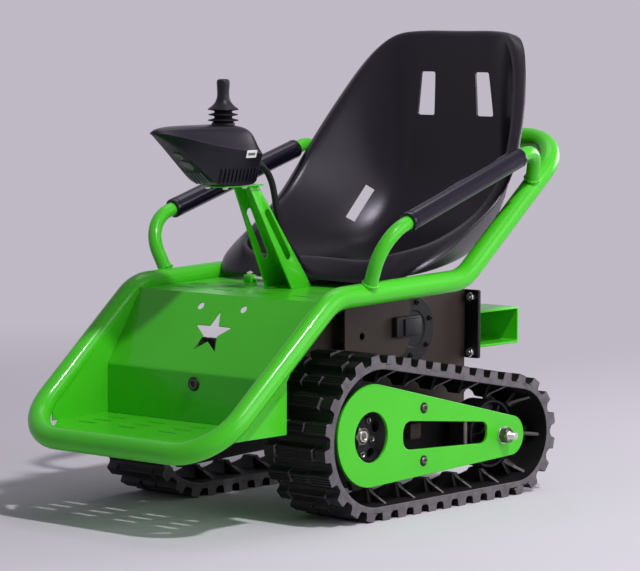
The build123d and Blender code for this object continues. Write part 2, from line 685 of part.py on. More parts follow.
# Tracks: one closed belt per side, with its lugs outside and its guide teeth inside
track_mid_x = TRACK_OUTER_X - TRACK_WIDTH / 2
track_inner_x = TRACK_OUTER_X - TRACK_WIDTH
loop_span = REAR_ARC_Y - FRONT_WHEEL_Y
loop_drop = FRONT_LOOP_RADIUS - REAR_LOOP_RADIUS
centre_distance = (loop_span**2 + loop_drop**2) ** 0.5
wrap = asin(loop_drop / centre_distance)
straight = centre_distance * cos(wrap)


def belt_outline(inset):
    """Side view of the belt's closed loop, inset from the lug tips."""
    front_r = FRONT_LOOP_RADIUS - inset
    rear_r = REAR_LOOP_RADIUS - inset
    top = Vector(sin(2 * wrap), cos(2 * wrap))
    front = Vector(FRONT_WHEEL_Y, FRONT_LOOP_RADIUS)
    rear = Vector(REAR_ARC_Y, REAR_LOOP_RADIUS)
    with BuildLine() as outline:
        Line(front + Vector(0, -front_r), rear + Vector(0, -rear_r))
        ThreePointArc(rear + Vector(0, -rear_r), rear + Vector(rear_r, 0), rear + top * rear_r)
        Line(rear + top * rear_r, front + top * front_r)
        ThreePointArc(front + top * front_r, front + Vector(-front_r, 0), front + Vector(0, -front_r))
    return outline.edges()


def belt_frame(distance, inset):
    """Point and outward direction on the belt, a distance along it from the front wheel's foot."""
    front_r = FRONT_LOOP_RADIUS - inset
    rear_r = REAR_LOOP_RADIUS - inset
    front = Vector(FRONT_WHEEL_Y, FRONT_LOOP_RADIUS)
    rear = Vector(REAR_ARC_Y, REAR_LOOP_RADIUS)
    rear_arc = rear_r * (pi - 2 * wrap)
    if distance < straight:
        return front + Vector(distance, -front_r), Vector(0, -1)
    distance -= straight
    if distance < rear_arc:
        angle = distance / rear_r
        out = Vector(sin(angle), -cos(angle))
        return rear + out * rear_r, out
    distance -= rear_arc
    out = Vector(sin(2 * wrap), cos(2 * wrap))
    if distance < straight:
        return rear + out * rear_r + Vector(-out.Y, out.X) * distance, out
    distance -= straight
    angle = distance / front_r
    out = Vector(sin(2 * wrap - angle), cos(2 * wrap - angle))
    return front + out * front_r, out


LUG_INSET = LUG_HEIGHT
BELT_INSET = LUG_HEIGHT + BELT
lug_base_length = 2 * straight + (FRONT_LOOP_RADIUS - LUG_INSET) * (pi + 2 * wrap)
lug_base_length += (REAR_LOOP_RADIUS - LUG_INSET) * (pi - 2 * wrap)
guide_base_length = 2 * straight + (FRONT_LOOP_RADIUS - BELT_INSET) * (pi + 2 * wrap)
guide_base_length += (REAR_LOOP_RADIUS - BELT_INSET) * (pi - 2 * wrap)
LUG_SINK = 1.0
with BuildPart() as track:
    with BuildSketch(Plane.YZ.offset(track_inner_x)):
        make_face(belt_outline(LUG_INSET))
        for i in range(LUG_COUNT):
            foot, out = belt_frame((i + 0.5) * lug_base_length / LUG_COUNT, LUG_INSET)
            along = Vector(-out.Y, out.X)
            Polygon(
                tuple(foot + along * LUG_BASE / 2 - out * LUG_SINK),
                tuple(foot + along * LUG_TIP / 2 + out * LUG_HEIGHT),
                tuple(foot - along * LUG_TIP / 2 + out * LUG_HEIGHT),
                tuple(foot - along * LUG_BASE / 2 - out * LUG_SINK),
                align=None,
            )
    extrude(amount=TRACK_WIDTH)
    with BuildSketch(Plane.YZ.offset(track_inner_x)):
        make_face(belt_outline(BELT_INSET))
    extrude(amount=TRACK_WIDTH, mode=Mode.SUBTRACT)
    for i in range(LUG_COUNT // 2):
        foot, out = belt_frame((i + 0.5) * guide_base_length / (LUG_COUNT // 2), BELT_INSET)
        guide_plane = Plane(
            origin=(track_mid_x, foot.X, foot.Y), x_dir=(1, 0, 0), z_dir=(0, -out.Y, out.X)
        )
        inward = 1 if guide_plane.y_dir.dot(Vector(0, out.X, out.Y)) < 0 else -1
        with BuildSketch(guide_plane):
            Polygon(
                (GUIDE_BASE_WIDTH / 2, -inward * LUG_SINK),
                (GUIDE_TIP_WIDTH / 2, inward * GUIDE_HEIGHT),
                (-GUIDE_TIP_WIDTH / 2, inward * GUIDE_HEIGHT),
                (-GUIDE_BASE_WIDTH / 2, -inward * LUG_SINK),
                align=None,
            )
        extrude(amount=GUIDE_LENGTH / 2, both=True)
save_pair(track, "track")


# Side plates of each track unit
def plate_outline():
    """Side view of a plate: a big round end in front and a small one behind."""
    with BuildLine() as outline:
        front = Vector(FRONT_WHEEL_Y, PLATE_FRONT_Z)
        rear = Vector(PLATE_REAR_Y, REAR_LOOP_RADIUS - 2)
        slope = (rear - front).get_angle(Vector(1, 0))
        reach = (rear - front).length
        spread = degrees(asin((PLATE_BIG_RADIUS - PLATE_SMALL_RADIUS) / reach))
        up_angle = radians(90 - slope - spread)
        down_angle = radians(-90 - slope + spread)
        up = Vector(cos(up_angle), sin(up_angle))
        down = Vector(cos(down_angle), sin(down_angle))
        Line(front + up * PLATE_BIG_RADIUS, rear + up * PLATE_SMALL_RADIUS)
        ThreePointArc(
            rear + up * PLATE_SMALL_RADIUS,
            rear + (rear - front).normalized() * PLATE_SMALL_RADIUS,
            rear + down * PLATE_SMALL_RADIUS,
        )
        Line(rear + down * PLATE_SMALL_RADIUS, front + down * PLATE_BIG_RADIUS)
        ThreePointArc(
            front + down * PLATE_BIG_RADIUS,
            front - (rear - front).normalized() * PLATE_BIG_RADIUS,
            front + up * PLATE_BIG_RADIUS,
        )
    return outline.edges()


def plate_z(y):
    """Height of the plate's centre line at a given y."""
    return FRONT_LOOP_RADIUS + (REAR_LOOP_RADIUS - 2 - FRONT_LOOP_RADIUS) * (y - FRONT_WHEEL_Y) / (
        PLATE_REAR_Y - FRONT_WHEEL_Y
    )


def plate_slot():
    """Tapered slot along the plate's centre line."""
    front = Vector(PLATE_SLOT_FRONT_Y, plate_z(PLATE_SLOT_FRONT_Y) + PLATE_SLOT_RAISE)
    rear = Vector(PLATE_SLOT_REAR_Y, plate_z(PLATE_SLOT_REAR_Y) + PLATE_SLOT_RAISE)
    with BuildLine() as outline:
        FilletPolyline(
            front + Vector(-PLATE_SLOT_FRONT_RADIUS, PLATE_SLOT_FRONT_RADIUS),
            front + Vector(-PLATE_SLOT_FRONT_RADIUS, -PLATE_SLOT_FRONT_RADIUS),
            rear + Vector(PLATE_SLOT_REAR_RADIUS, -PLATE_SLOT_REAR_RADIUS),
            rear + Vector(PLATE_SLOT_REAR_RADIUS, PLATE_SLOT_REAR_RADIUS),
            radius=[0.9 * r for r in (PLATE_SLOT_FRONT_RADIUS,) * 2 + (PLATE_SLOT_REAR_RADIUS,) * 2],
            close=True,
        )
    return outline.edges()


with BuildPart() as outer_plate:
    with BuildSketch(Plane.YZ.offset(OUTER_PLATE_X - PLATE)):
        make_face(plate_outline())
        make_face(plate_slot(), mode=Mode.SUBTRACT)
        with Locations((FRONT_WHEEL_Y, FRONT_LOOP_RADIUS)):
            Circle(PLATE_HOLE_RADIUS, mode=Mode.SUBTRACT)
        with Locations((IDLER_Y, IDLER_Z)):
            Circle(REAR_AXLE_D / 2 + SHAFT_FIT, mode=Mode.SUBTRACT)
    extrude(amount=PLATE)
save_pair(outer_plate, "outer_plate")

inner_plate_x = 2 * track_mid_x - OUTER_PLATE_X
with BuildPart() as inner_plate:
    with BuildSketch(Plane.YZ.offset(inner_plate_x)):
        make_face(plate_outline())
        with Locations((FRONT_WHEEL_Y, FRONT_LOOP_RADIUS)):
            Circle(FRONT_AXLE_D / 2 + SHAFT_FIT, mode=Mode.SUBTRACT)
        with Locations((IDLER_Y, IDLER_Z)):
            Circle(REAR_AXLE_D / 2 + SHAFT_FIT, mode=Mode.SUBTRACT)
    extrude(amount=PLATE)
    with BuildSketch(Plane.YZ.offset(inner_plate_x + PLATE / 2)):
        with Locations(*[(SPACER_Y, z) for z in SPACER_Z]):
            Circle(SPACER_D / 2)
    extrude(amount=OUTER_PLATE_X - PLATE - inner_plate_x - PLATE / 2)
save_pair(inner_plate, "inner_plate")

wheel_width = 2 * (WHEEL_FACE_X - track_mid_x)
with BuildPart() as drive_wheel:
    with BuildSketch(Plane.YZ.offset(track_mid_x)):
        with Locations((FRONT_WHEEL_Y, FRONT_LOOP_RADIUS)):
            Circle(SPROCKET_DISC_RADIUS)
    extrude(amount=SPROCKET_DISC_WIDTH / 2, both=True)
    with BuildSketch(Plane.YZ.offset(track_mid_x)):
        with Locations((FRONT_WHEEL_Y, FRONT_LOOP_RADIUS)):
            Circle(SPROCKET_HUB_D / 2)
    extrude(amount=wheel_width / 2, both=True)
    with BuildSketch(Plane.YZ.offset(track_mid_x)):
        with Locations((FRONT_WHEEL_Y, FRONT_LOOP_RADIUS)):
            Circle(SPROCKET_RADIUS)
            with PolarLocations(SPROCKET_RADIUS, SPROCKET_TEETH, start_angle=18):
                Circle(SPROCKET_VALLEY_RADIUS, mode=Mode.SUBTRACT)
    extrude(amount=SPROCKET_RIM_WIDTH / 2, both=True)
    for sign in (1, -1):
        with BuildSketch(Plane.YZ.offset(track_mid_x + sign * SPROCKET_RIM_WIDTH / 2)):
            with Locations((FRONT_WHEEL_Y, FRONT_LOOP_RADIUS)):
                Circle(SPROCKET_DISC_RADIUS)
                Circle(SPROCKET_BOSS_D / 2, mode=Mode.SUBTRACT)
        extrude(amount=-sign * SPROCKET_RIM, mode=Mode.SUBTRACT)
    with BuildSketch(Plane.YZ.offset(track_mid_x)):
        with Locations((FRONT_WHEEL_Y, FRONT_LOOP_RADIUS)):
            Circle(FRONT_AXLE_D / 2 + SHAFT_FIT)
    extrude(amount=wheel_width, both=True, mode=Mode.SUBTRACT)
save_pair(drive_wheel, "drive_wheel")

with BuildPart() as idler_wheel:
    with BuildSketch(Plane.YZ.offset(track_mid_x)):
        with Locations((IDLER_Y, IDLER_Z)):
            Circle(IDLER_RADIUS)
    extrude(amount=wheel_width / 2, both=True)
    for face_x, inward_sign in ((WHEEL_FACE_X, -1), (2 * track_mid_x - WHEEL_FACE_X, 1)):
        with BuildSketch(Plane.YZ.offset(face_x)):
            with Locations((IDLER_Y, IDLER_Z)):
                Circle(IDLER_RADIUS - IDLER_RIM)
                Circle(IDLER_HUB_D / 2, mode=Mode.SUBTRACT)
        extrude(amount=inward_sign * IDLER_DISH, mode=Mode.SUBTRACT)
    with BuildSketch(Plane.YZ.offset(track_mid_x)):
        with Locations((IDLER_Y, IDLER_Z)):
            Circle(REAR_AXLE_D / 2 + SHAFT_FIT)
    extrude(amount=wheel_width, both=True, mode=Mode.SUBTRACT)
save_pair(idler_wheel, "idler_wheel")

# Axles: one bar in front with a nut at each end, one threaded bar behind
front_nut_x = WHEEL_FACE_X + 1
with BuildPart() as front_axle:
    with BuildSketch(Plane.YZ):
        with Locations((FRONT_WHEEL_Y, FRONT_LOOP_RADIUS)):
            Circle(FRONT_AXLE_D / 2)
    extrude(amount=front_nut_x + FRONT_NUT + 1, both=True)
    for sign in (1, -1):
        with BuildSketch(Plane.YZ.offset(sign * front_nut_x)):
            with Locations((FRONT_WHEEL_Y, FRONT_LOOP_RADIUS)):
                RegularPolygon(FRONT_NUT_FLATS / 2, 6, major_radius=False)
        extrude(amount=sign * FRONT_NUT)
save(front_axle, "front_axle")

with BuildPart() as rear_axle:
    with BuildSketch(Plane.YZ):
        with Locations((IDLER_Y, IDLER_Z)):
            Circle(REAR_AXLE_D / 2)
    extrude(amount=REAR_AXLE_TIP_X - REAR_AXLE_END_LENGTH, both=True)
    with BuildSketch(Plane.YZ):
        with Locations((IDLER_Y, IDLER_Z)):
            Circle(REAR_AXLE_END_D / 2)
    extrude(amount=REAR_AXLE_TIP_X, both=True)
    for end in (0, -1):
        chamfer(rear_axle.faces().filter_by(Axis.X).sort_by(Axis.X)[end].edges(), 1.0)
save(rear_axle, "rear_axle")

with BuildPart() as axle_nuts:
    for sign in (1, -1):
        with BuildSketch(Plane.YZ.offset(sign * OUTER_PLATE_X)):
            with Locations((IDLER_Y, IDLER_Z)):
                Circle(WASHER_D / 2)
                Circle(REAR_AXLE_D / 2 + SHAFT_FIT, mode=Mode.SUBTRACT)
        extrude(amount=sign * WASHER)
        with BuildSketch(Plane.YZ.offset(sign * (OUTER_PLATE_X + WASHER))):
            with Locations((IDLER_Y, IDLER_Z)):
                RegularPolygon(NUT_FLATS / 2, 6, major_radius=False)
                Circle(REAR_AXLE_D / 2 + SHAFT_FIT, mode=Mode.SUBTRACT)
        extrude(amount=sign * NUT)
save(axle_nuts, "axle_nuts")


# Chassis: two upright plates between the axles and the deck, closed by a rear plate
def under_deck(y):
    return deck_z(y) - SHEET / cos(radians(DECK_TILT)) - SEAM


with BuildPart() as chassis_plate:
    with BuildSketch(Plane.YZ.offset(CHASSIS_X - CHASSIS_PLATE)):
        Polygon(
            (CHASSIS_FRONT_Y, CHASSIS_FRONT_BOTTOM_Z),
            (IDLER_Y - 40, CHASSIS_REAR_BOTTOM_Z),
            (IDLER_Y + 24, CHASSIS_REAR_BOTTOM_Z),
            (REAR_PLATE_Y - SEAM, REAR_PLATE_BOTTOM_Z),
            (REAR_PLATE_Y - SEAM, REAR_PLATE_TOP_Z),
            (SHOULDER_FRONT_Y + DECK_REAR - 5, under_deck(SHOULDER_FRONT_Y + DECK_REAR - 5)),
            (CHASSIS_TOP_FRONT_Y, under_deck(CHASSIS_TOP_FRONT_Y)),
            (CHASSIS_FRONT_Y, CHASSIS_FRONT_TOP_Z),
            align=None,
        )
        with Locations((FRONT_WHEEL_Y, FRONT_LOOP_RADIUS)):
            Circle(FRONT_AXLE_D / 2 + SHAFT_FIT, mode=Mode.SUBTRACT)
        with Locations((IDLER_Y, IDLER_Z)):
            Circle(REAR_AXLE_D / 2 + SHAFT_FIT, mode=Mode.SUBTRACT)
    extrude(amount=CHASSIS_PLATE)
save_pair(chassis_plate, "chassis_plate")

with BuildPart() as motors:
    for sign in (1, -1):
        with BuildSketch(Plane.YZ.offset(sign * (CHASSIS_X + SEAM))):
            with Locations((MOTOR_Y, MOTOR_Z)):
                Circle(MOTOR_RADIUS)
        extrude(amount=sign * (MOTOR_END_X - CHASSIS_X - SEAM))
save(motors, "motors")

with BuildPart() as gear_cover:
    with BuildSketch(Plane.YZ.offset(COVER_X)):
        with BuildLine():
            FilletPolyline(
                (COVER_FRONT_Y, COVER_BOTTOM_Z),
                (COVER_REAR_Y, COVER_BOTTOM_Z),
                (COVER_REAR_Y, COVER_TOP_Z),
                (COVER_FRONT_Y, COVER_TOP_Z),
                radius=[COVER_CORNER, COVER_ROUND_CORNER, COVER_CORNER, COVER_CORNER],
                close=True,
            )
        make_face()
        with Locations(COVER_HOLE):
            Circle(COVER_HOLE_D / 2, mode=Mode.SUBTRACT)
    extrude(amount=COVER)
    with BuildSketch(Plane.YZ.offset(CHASSIS_X + SEAM)):
        with Locations(*COVER_BOSSES):
            Circle(COVER_BOSS_D / 2)
    extrude(amount=COVER_X - CHASSIS_X - SEAM)
save_pair(gear_cover, "gear_cover")

battery_low_z = FRONT_LOOP_RADIUS + FRONT_AXLE_D / 2 + BATTERY_OVER_AXLE
with BuildPart() as battery_box:
    with Locations((0, (BATTERY_FRONT_Y + BATTERY_REAR_Y) / 2, battery_low_z)):
        Box(
            2 * (CHASSIS_X - CHASSIS_PLATE - SEAM),
            BATTERY_REAR_Y - BATTERY_FRONT_Y,
            under_deck(BATTERY_FRONT_Y) - BATTERY_UNDER_DECK - battery_low_z,
            align=(Align.CENTER, Align.CENTER, Align.MIN),
        )
    fillet(battery_box.edges().filter_by(Axis.Z), BATTERY_CORNER)
save(battery_box, "battery_box")

with BuildPart() as rear_plate:
    with BuildSketch(Plane(origin=(0, REAR_PLATE_Y, 0), x_dir=(1, 0, 0), z_dir=(0, -1, 0))):
        with Locations((0, (REAR_PLATE_BOTTOM_Z + REAR_PLATE_TOP_Z) / 2)):
            Rectangle(2 * REAR_PLATE_HALF_WIDTH, REAR_PLATE_TOP_Z - REAR_PLATE_BOTTOM_Z)
    extrude(amount=-REAR_PLATE)
save(rear_plate, "rear_plate")

# Hitch: a rectangular tube across the back, open at both sides
hitch_front_y = REAR_PLATE_Y + REAR_PLATE
hitch_depth = LOOP_HALF_LENGTH + TUBE_R - hitch_front_y
with BuildPart() as hitch_box:
    with BuildSketch(Plane.YZ):
        with Locations((hitch_front_y + hitch_depth / 2, HITCH_BOTTOM_Z + HITCH_HEIGHT / 2)):
            Rectangle(hitch_depth, HITCH_HEIGHT)
            Rectangle(hitch_depth - 2 * HITCH_WALL, HITCH_HEIGHT - 2 * HITCH_WALL, mode=Mode.SUBTRACT)
    extrude(amount=HITCH_HALF_WIDTH, both=True)
save(hitch_box, "hitch_box")
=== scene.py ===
import math

import bmesh
import bpy
from mathutils import Matrix, Vector


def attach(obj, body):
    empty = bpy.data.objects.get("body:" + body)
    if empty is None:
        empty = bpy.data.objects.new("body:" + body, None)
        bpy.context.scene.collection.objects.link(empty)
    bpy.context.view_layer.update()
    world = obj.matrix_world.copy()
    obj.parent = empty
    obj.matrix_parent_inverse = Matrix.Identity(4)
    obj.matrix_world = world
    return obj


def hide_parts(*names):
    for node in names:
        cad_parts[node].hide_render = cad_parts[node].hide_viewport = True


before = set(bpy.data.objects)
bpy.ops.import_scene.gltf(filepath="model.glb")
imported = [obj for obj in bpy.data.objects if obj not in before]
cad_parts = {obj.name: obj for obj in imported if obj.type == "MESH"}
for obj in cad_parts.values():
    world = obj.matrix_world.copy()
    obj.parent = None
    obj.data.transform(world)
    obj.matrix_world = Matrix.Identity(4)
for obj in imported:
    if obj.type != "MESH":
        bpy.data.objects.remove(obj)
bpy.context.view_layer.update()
scene = bpy.context.scene

# Everything below is written in millimetres and turned into metres when a mesh is made
MM = 0.001
FRAME_BODY = "frame_and_tracks"
FLAT_AREA = 0.0025


# Shader maths
class Value:
    """A shader socket that does sums: each operator adds its Math node."""

    def __init__(self, finish, link):
        self.finish = finish
        self.link = link

    def sum(self, operation, *values):
        return self.finish.add("ShaderNodeMath", {"operation": operation}, dict(enumerate(values)))

    def __add__(self, other):
        return self.sum("ADD", self, other)

    def __radd__(self, other):
        return self.sum("ADD", other, self)

    def __sub__(self, other):
        return self.sum("SUBTRACT", self, other)

    def __rsub__(self, other):
        return self.sum("SUBTRACT", other, self)

    def __mul__(self, other):
        return self.sum("MULTIPLY", self, other)

    def __rmul__(self, other):
        return self.sum("MULTIPLY", other, self)

    def above(self, edge, soft):
        """0 below the edge, 1 above it, with a soft step between."""
        return self.finish.add(
            "ShaderNodeMapRange",
            {"interpolation_type": "SMOOTHSTEP"},
            {"Value": self, "From Min": edge - soft, "From Max": edge + soft},
        )


class Finish:
    """Builds the node tree of one finish."""

    def __init__(self, name):
        self.material = bpy.data.materials.new(name)
        self.material.use_nodes = True
        self.tree = self.material.node_tree
        self.tree.nodes.clear()
        self.surface = self.tree.nodes.new("ShaderNodeBsdfPrincipled")
        output = self.tree.nodes.new("ShaderNodeOutputMaterial")
        self.tree.links.new(self.surface.outputs[0], output.inputs["Surface"])

    def add(self, kind, settings=None, sockets=None, out=0):
        """Adds a node: its settings first, then the values or links of its sockets."""
        node = self.tree.nodes.new(kind)
        for key, value in (settings or {}).items():
            setattr(node, key, value)
        for key, value in (sockets or {}).items():
            self.feed(node.inputs[key], value)
        return Value(self, node.outputs[out])

    def feed(self, socket, value):
        if isinstance(value, Value):
            self.tree.links.new(value.link, socket)
        elif isinstance(value, (tuple, list)) and socket.type == "RGBA" and len(value) == 3:
            socket.default_value = (*value, 1)
        else:
            socket.default_value = value

    def set(self, **sockets):
        for name, value in sockets.items():
            self.feed(self.surface.inputs[name.replace("_", " ")], value)
        return self

    def place(self):
        """Object coordinates, in metres."""
        return self.add("ShaderNodeTexCoord", out="Object")

    def noise(self, scale, detail=3.0, roughness=0.5, where=None):
        return self.add(
            "ShaderNodeTexNoise",
            None,
            {"Vector": where or self.place(), "Scale": scale, "Detail": detail, "Roughness": roughness},
        )

    def blend(self, share, first, second):
        """A colour between two colours."""
        return self.add("ShaderNodeMix", {"data_type": "RGBA"}, {0: share, 6: first, 7: second}, 2)

    def bump(self, height, strength, distance):
        inputs = {"Height": height, "Strength": strength, "Distance": distance}
        return self.add("ShaderNodeBump", None, inputs)


def powder_coat(name, colour, dark, roughness, coat):
    """Sprayed and baked paint: a faint orange peel, a few dull patches and fine specks."""
    paint = Finish(name)
    patch = paint.noise(9.0, 4.0)
    peel = paint.noise(900.0, 2.0)
    speck = paint.noise(260.0, 1.0)
    tint = paint.blend(patch.above(0.52, 0.16) * 0.35, colour, dark)
    paint.set(
        Base_Color=tint,
        Roughness=roughness + patch * 0.10 + speck * 0.05,
        Normal=paint.bump(peel + speck * 0.5, 0.10, 0.0004),
        Coat_Weight=coat,
        Coat_Roughness=0.05,
        Specular_IOR_Level=0.20,
    )
    return paint.material


def moulded_plastic(name, colour, light, roughness, grain, strength, shine=0.30):
    """Moulded plastic with a fine leather-like grain and a slight bloom."""
    skin = Finish(name)
    grid = {"Vector": skin.place(), "Scale": grain}
    cells = skin.add("ShaderNodeTexVoronoi", {"feature": "SMOOTH_F1"}, grid)
    bloom = skin.noise(14.0, 5.0, 0.6)
    fine = skin.noise(grain * 1.7, 2.0)
    skin.set(
        Base_Color=skin.blend(bloom.above(0.5, 0.25) * 0.6, colour, light),
        Roughness=roughness + bloom * 0.14,
        Normal=skin.bump(cells + fine * 0.6, strength, 0.0005),
        Specular_IOR_Level=shine,
        Specular_Tint=(0.92, 0.86, 1.0, 1.0),
    )
    return skin.material


def brushed_metal(name, colour, dark, roughness):
    """Plated steel with fine scratches and duller patches."""
    steel = Finish(name)
    stretched = {"Vector": steel.place(), "Scale": (12.0, 900.0, 900.0)}
    long_scratch = steel.add("ShaderNodeMapping", None, stretched)
    scratch = steel.noise(1.0, 3.0, 0.7, long_scratch)
    patch = steel.noise(60.0, 4.0)
    steel.set(
        Base_Color=steel.blend(patch.above(0.5, 0.2) * 0.5, colour, dark),
        Roughness=roughness + scratch * 0.18 + patch * 0.08,
        Metallic=1.0,
        Normal=steel.bump(scratch, 0.12, 0.0003),
    )
    return steel.material


def belt_rubber(name):
    """Track rubber: dark moulded faces with dried dust patches, paler cut sides, and a painted highlight on
    slanted faces.
    """
    rubber = Finish(name)
    facing = rubber.add("ShaderNodeNewGeometry", out="Normal")
    sideways = rubber.add("ShaderNodeSeparateXYZ", None, {0: facing})
    turned_out = sideways.sum("ABSOLUTE", sideways)
    # Painted highlight: faces that lean half sideways, such as the eased rims, lug flanks and tooth ribs, are
    # coloured pale grey
    edge = turned_out.above(0.40, 0.12) * (1.0 - turned_out.above(0.80, 0.05))
    side = turned_out.above(0.93, 0.04)
    cloud = rubber.noise(55.0, 5.0, 0.65)
    grit = rubber.noise(1400.0, 2.0)
    dust = rubber.noise(16.0, 6.0, 0.7).above(0.56, 0.12)
    face = rubber.blend(dust * 0.4, (0.006, 0.005, 0.006), (0.020, 0.017, 0.019))
    cut = rubber.blend(cloud.above(0.5, 0.2), (0.084, 0.074, 0.086), (0.150, 0.134, 0.152))
    rubber.set(
        # The pale grey mixed in here over the slanted faces is the painted highlight
        Base_Color=rubber.blend(side, rubber.blend(edge, face, (0.150, 0.130, 0.140)), cut),
        Roughness=0.42 + cloud * 0.22 + side * 0.12,
        Normal=rubber.bump(grit + cloud * 0.8, 0.30, 0.0006),
        Specular_IOR_Level=0.30,
    )
    return rubber.material


LIME = powder_coat("lime_powder_coat", (0.068, 0.590, 0.017), (0.055, 0.515, 0.013), 0.24, 0.30)
BROWN_GREY = powder_coat("brown_grey_coat", (0.052, 0.036, 0.030), (0.034, 0.024, 0.021), 0.46, 0.0)
BLACK_COAT = powder_coat("black_coat", (0.012, 0.011, 0.013), (0.007, 0.007, 0.008), 0.42, 0.0)
ZINC = brushed_metal("zinc_steel", (0.80, 0.79, 0.76), (0.52, 0.50, 0.47), 0.16)
DARK_STEEL = brushed_metal("dark_steel", (0.20, 0.18, 0.15), (0.08, 0.07, 0.06), 0.26)
CAST = powder_coat("cast_drive", (0.030, 0.028, 0.034), (0.018, 0.017, 0.021), 0.46, 0.0)
SEAT = moulded_plastic(
    "seat_plastic", (0.0050, 0.0032, 0.0058), (0.0085, 0.0062, 0.0098), 0.24, 900.0, 0.16, 0.40
)
POD = moulded_plastic(
    "pod_plastic", (0.0080, 0.0062, 0.0120), (0.0130, 0.0110, 0.0190), 0.24, 1200.0, 0.08, 0.30
)
# Pale grey plastic: a painted highlight on the horn rings, grille, cap and vent bars, and the grey print of
# the label's bar
POD_GREY_AND_HIGHLIGHT = moulded_plastic(
    "pod_edge_plastic", (0.130, 0.125, 0.140), (0.170, 0.165, 0.180), 0.25, 1200.0, 0.04
)
GRIP = moulded_plastic(
    "grip_rubber", (0.0040, 0.0035, 0.0100), (0.0060, 0.0050, 0.0130), 0.10, 500.0, 0.02, 0.45
)
BOOT = moulded_plastic("boot_rubber", (0.0090, 0.0070, 0.0110), (0.0130, 0.0105, 0.0150), 0.36, 700.0, 0.06)
BELT_RUBBER = belt_rubber("track_rubber")
LABEL = moulded_plastic("label_film", (0.80, 0.80, 0.80), (0.72, 0.72, 0.72), 0.35, 300.0, 0.02)


# Mesh making
def finish_piece(obj, finish, body=FRAME_BODY, stands_for=()):
    """Gives a made mesh its finish and its body, and hides the CAD nodes that it stands for."""
    obj.data.materials.clear()
    obj.data.materials.append(finish)
    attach(obj, body)
    if stands_for:
        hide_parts(*stands_for)
    return obj


def smooth_shade(mesh, angle=35.0):
    """Smooth shading with sharp folds, and plain faces where a piece is truly flat."""
    mesh.polygons.foreach_set("use_smooth", [True] * len(mesh.polygons))
    mesh.set_sharp_from_angle(angle=math.radians(angle))
    spread = {}
    facing = [tuple(round(c, 3) for c in face.normal) for face in mesh.polygons]
    for face, way in zip(mesh.polygons, facing):
        spread[way] = spread.get(way, 0.0) + face.area
    for face, way in zip(mesh.polygons, facing):
        face.use_smooth = spread[way] < FLAT_AREA


def move(obj, place):
    """Moves a made mesh by a placing matrix in millimetres."""
    obj.data.transform(Matrix.Scale(MM, 4) @ place @ Matrix.Scale(1 / MM, 4))


def object_from(name, verts, faces, angle=35.0, outward=True):
    """A mesh object from points in millimetres."""
    mesh = bpy.data.meshes.new(name)
    mesh.from_pydata([Vector(v) * MM for v in verts], [], faces)
    work = bmesh.new()
    work.from_mesh(mesh)
    bmesh.ops.remove_doubles(work, verts=work.verts, dist=1e-6)
    if outward:
        bmesh.ops.recalc_face_normals(work, faces=work.faces)
    work.to_mesh(mesh)
    work.free()
    smooth_shade(mesh, angle)
    obj = bpy.data.objects.new(name, mesh)
    scene.collection.objects.link(obj)
    return obj


def applied(obj, angle=None):
    """Turns an object's modifiers and shape into a plain mesh, in place."""
    bpy.context.view_layer.update()
    seen = obj.evaluated_get(bpy.context.evaluated_depsgraph_get())
    mesh = bpy.data.meshes.new_from_object(seen)
    mesh.transform(obj.matrix_world)
    name = obj.name
    bpy.data.objects.remove(obj)
    mesh.name = name
    if angle is not None:
        smooth_shade(mesh, angle)
    new = bpy.data.objects.new(name, mesh)
    scene.collection.objects.link(new)
    new.name = name
    return new


def joined(name, objects, angle=None):
    """Several plain meshes as one, shaded anew where an angle is given."""
    work = bmesh.new()
    for obj in objects:
        part = obj.data
        part.transform(obj.matrix_world)
        work.from_mesh(part)
    mesh = bpy.data.meshes.new(name)
    work.to_mesh(mesh)
    work.free()
    for obj in objects:
        bpy.data.objects.remove(obj)
    if angle is not None:
        smooth_shade(mesh, angle)
    new = bpy.data.objects.new(name, mesh)
    scene.collection.objects.link(new)
    return new


def mirrored(obj, name):
    """The same piece for the other side of the vehicle."""
    mesh = obj.data.copy()
    mesh.transform(Matrix.Scale(-1, 4, (1, 0, 0)))
    mesh.flip_normals()
    mesh.name = name
    new = bpy.data.objects.new(name, mesh)
    scene.collection.objects.link(new)
    return new


def pair(obj, label, finish, bodies=(FRAME_BODY, FRAME_BODY), stands_for=()):
    """Finishes a left-hand piece and its right-hand twin. The names in stands_for come without their side."""
    obj.name = f"{label}_left"
    twin = mirrored(obj, f"{label}_right")
    finish_piece(obj, finish, bodies[0], [f"{n}_left" for n in stands_for])
    finish_piece(twin, finish, bodies[1], [f"{n}_right" for n in stands_for])
    return obj, twin


def rounded_path(corners, radii, closed=False, arc_step=5.0, run_step=30.0):
    """Points along straight runs joined by tangent arcs."""
    corners = [Vector(c) for c in corners]
    count = len(corners)
    pieces = []
    bend = range(count) if closed else range(1, count - 1)
    arcs = {}
    for i, radius in zip(bend, radii):
        before = (corners[i - 1] - corners[i]).normalized()
        after = (corners[(i + 1) % count] - corners[i]).normalized()
        half = before.angle(after) / 2
        reach = radius / math.tan(half)
        start = corners[i] + before * reach
        middle = corners[i] + (before + after).normalized() * (radius / math.sin(half))
        turn = math.pi - 2 * half
        axis = (start - middle).cross(corners[i] + after * reach - middle).normalized()
        steps = max(2, round(math.degrees(turn) / arc_step))
        arcs[i] = [
            middle + Matrix.Rotation(turn * k / steps, 3, axis) @ (start - middle)
            for k in range(steps + 1)
        ]
    for i in range(count):
        pieces.append(arcs.get(i, [corners[i]]))
    points = []
    ends = count if closed else count - 1
    for i in range(ends):
        points.extend(pieces[i])
        first = pieces[i][-1]
        last = pieces[(i + 1) % count][0]
        runs = max(1, round((last - first).length / run_step))
        points.extend(first.lerp(last, k / runs) for k in range(1, runs))
    if not closed:
        points.extend(pieces[-1])
    return points


